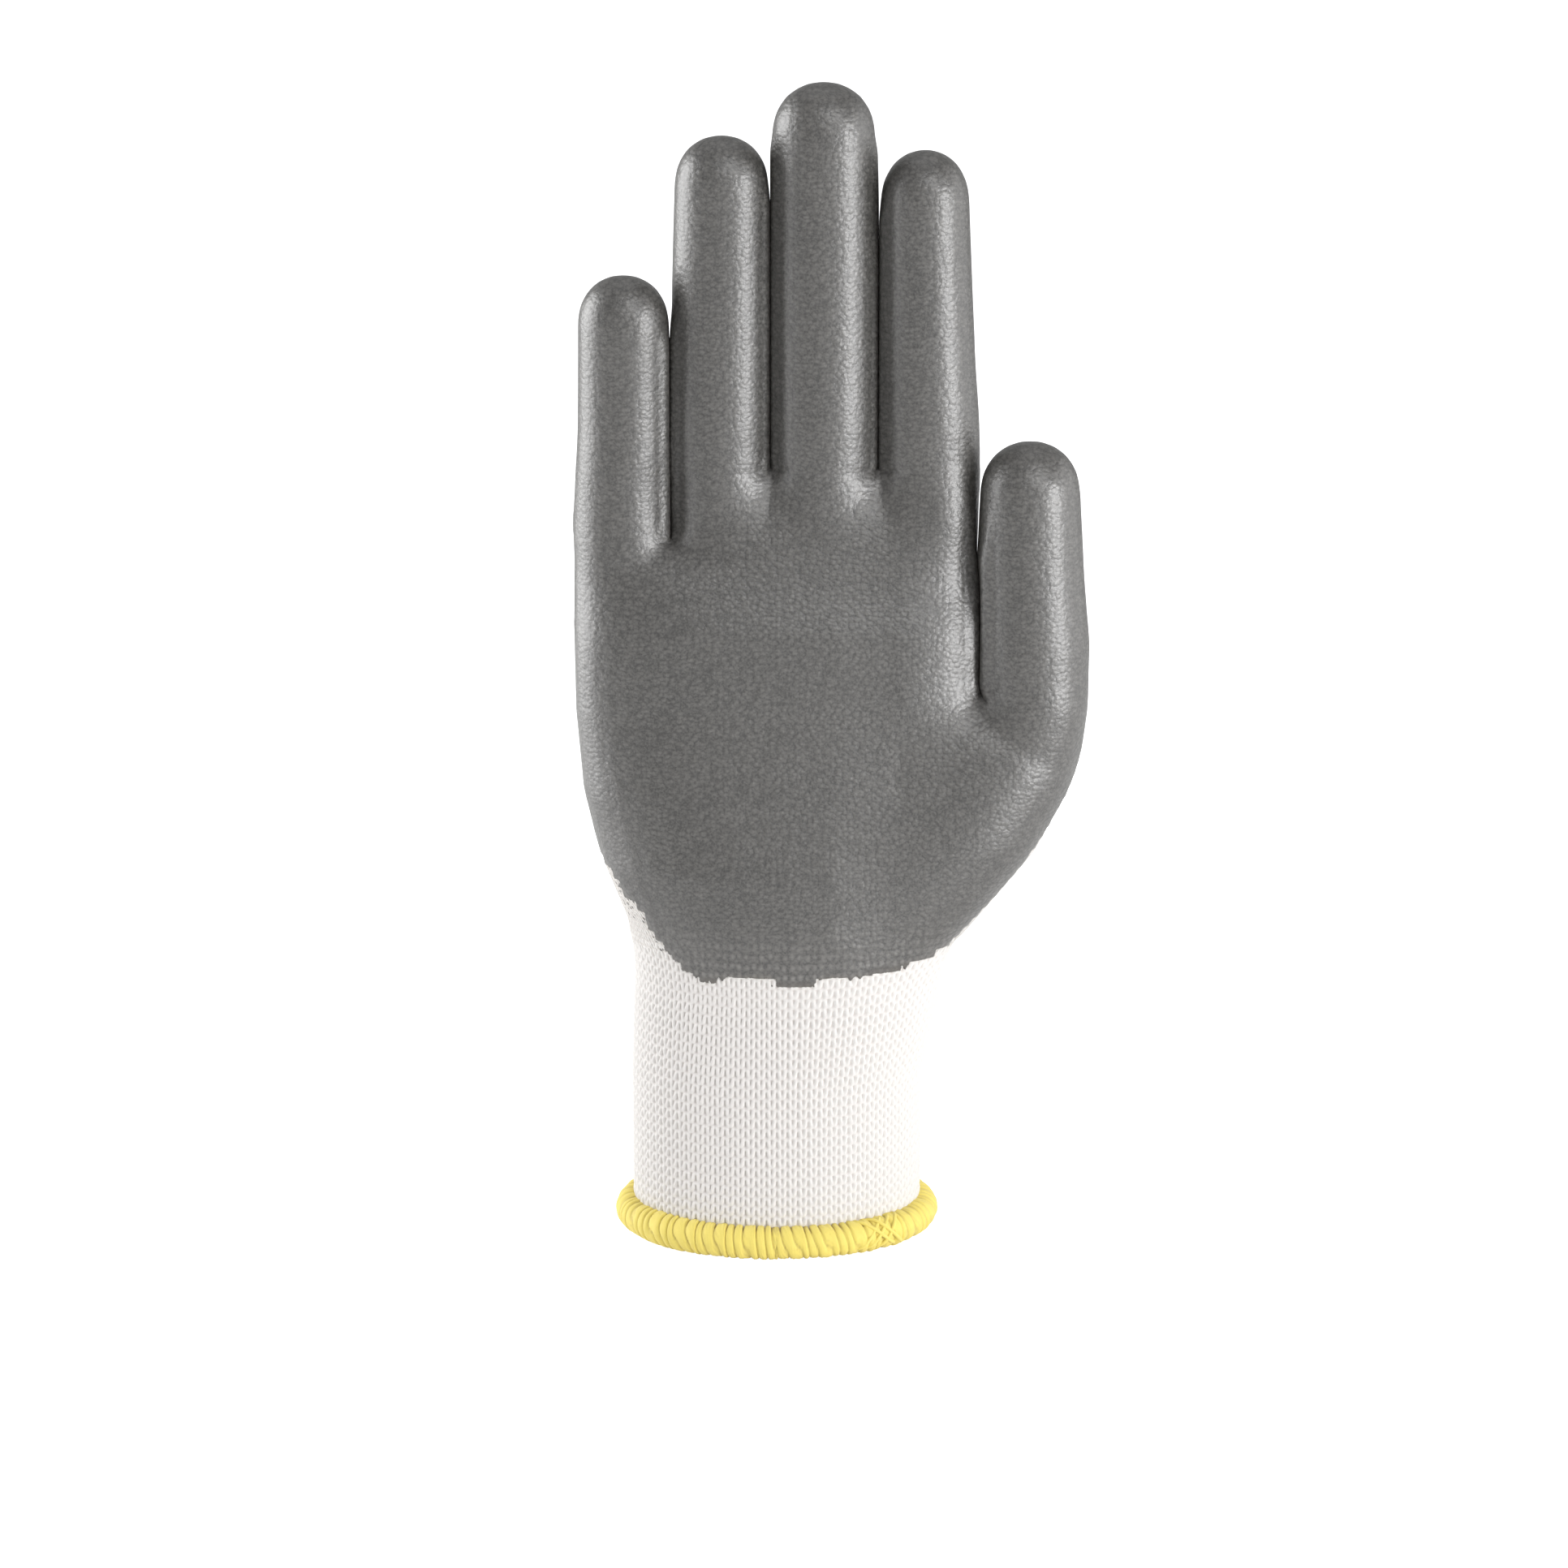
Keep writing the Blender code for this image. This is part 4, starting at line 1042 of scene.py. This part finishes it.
yellow, t = new_finish("yellow_thread")
cloth_mm = noted(t, "knit_mm")["Vector"]
parts = wire(t, "ShaderNodeSeparateXYZ", {}, {0: cloth_mm}).outputs
# Painted shade: the yellow darkens where the third value is low, between bundles and strands, in the notches
# and under the join threads.
colour = shaded(t, parts[2], (0.0, (0.50, 0.38, 0.10)), (0.7, (0.80, 0.66, 0.15)))
fuzz = mottled(t, cloth_mm, 2.5, 3.0)
finished(t, colour, raised(t, fuzz, 0.4, 0.1 * MM), Roughness=0.7, Sheen_Weight=0.2)
hem = set_piece("hem_thread_wraps", hem_at, hem_faces, normals_of(hem_at, hem_faces), hem_mm, yellow)
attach(hem, "cuff")
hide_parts("hem_thread")

# Elastic yarn: one rubber thread covered with fine white yarn wound round it,
# laid in along the inside of the cuff from course to course.
yarn_low, yarn_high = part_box("cuff_elastic")
yarn_turns, yarn_steps, yarn_sides, yarn_radius = 6, 540, 12, 0.4 * MM
cover_windings, cover_groove = 90, 0.09 * MM
yarn_wide, yarn_deep = yarn_high.x - yarn_radius, yarn_high.y - yarn_radius
yarn_start, yarn_end = yarn_low.z + yarn_radius, yarn_high.z - yarn_radius
turn = np.linspace(0, 2 * np.pi * yarn_turns, yarn_turns * yarn_steps + 1)
rise = yarn_start + (yarn_end - yarn_start) * turn / turn[-1]
path = np.stack([yarn_wide * np.cos(turn), yarn_deep * np.sin(turn), rise], 1)
way = np.stack([yarn_deep * np.cos(turn), yarn_wide * np.sin(turn), 0 * turn], 1)
way /= np.linalg.norm(way, axis=1, keepdims=True)
about, wound = np.meshgrid(np.arange(yarn_sides) / yarn_sides * 2 * np.pi, turn)
ridge = np.abs(np.sin(wound * cover_windings / 2 + about / 2))
yarn_at = rolled(path, yarn_radius - cover_groove * (1 - ridge), about, way, upward)
yarn_faces = turned_out(yarn_at, tube_faces(len(turn), yarn_sides), path)
yarn_at = yarn_at.reshape(-1, 3)
# The third value, the ridge of the windings, sets the painted shade of the cover yarn.
yarn_mm = np.stack([wound * yarn_wide / MM, about * yarn_radius / MM, ridge], 2).reshape(-1, 3)

elastic, t = new_finish("covered_rubber")
cloth_mm = noted(t, "knit_mm")["Vector"]
parts = wire(t, "ShaderNodeSeparateXYZ", {}, {0: cloth_mm}).outputs
# Painted shade: the cover yarn is drawn darker down in the grooves between its windings.
colour = shaded(t, parts[2], (0.0, (0.42, 0.39, 0.35)), (1.0, (0.74, 0.71, 0.66)))
finished(t, colour, raised(t, mottled(t, cloth_mm, 6.0, 3.0), 0.5, 0.06 * MM), Roughness=0.75)
yarn_out = normals_of(yarn_at, yarn_faces)
yarn = set_piece("cuff_elastic_yarn", yarn_at, yarn_faces, yarn_out, yarn_mm, elastic)
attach(yarn, "cuff")
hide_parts("cuff_elastic")
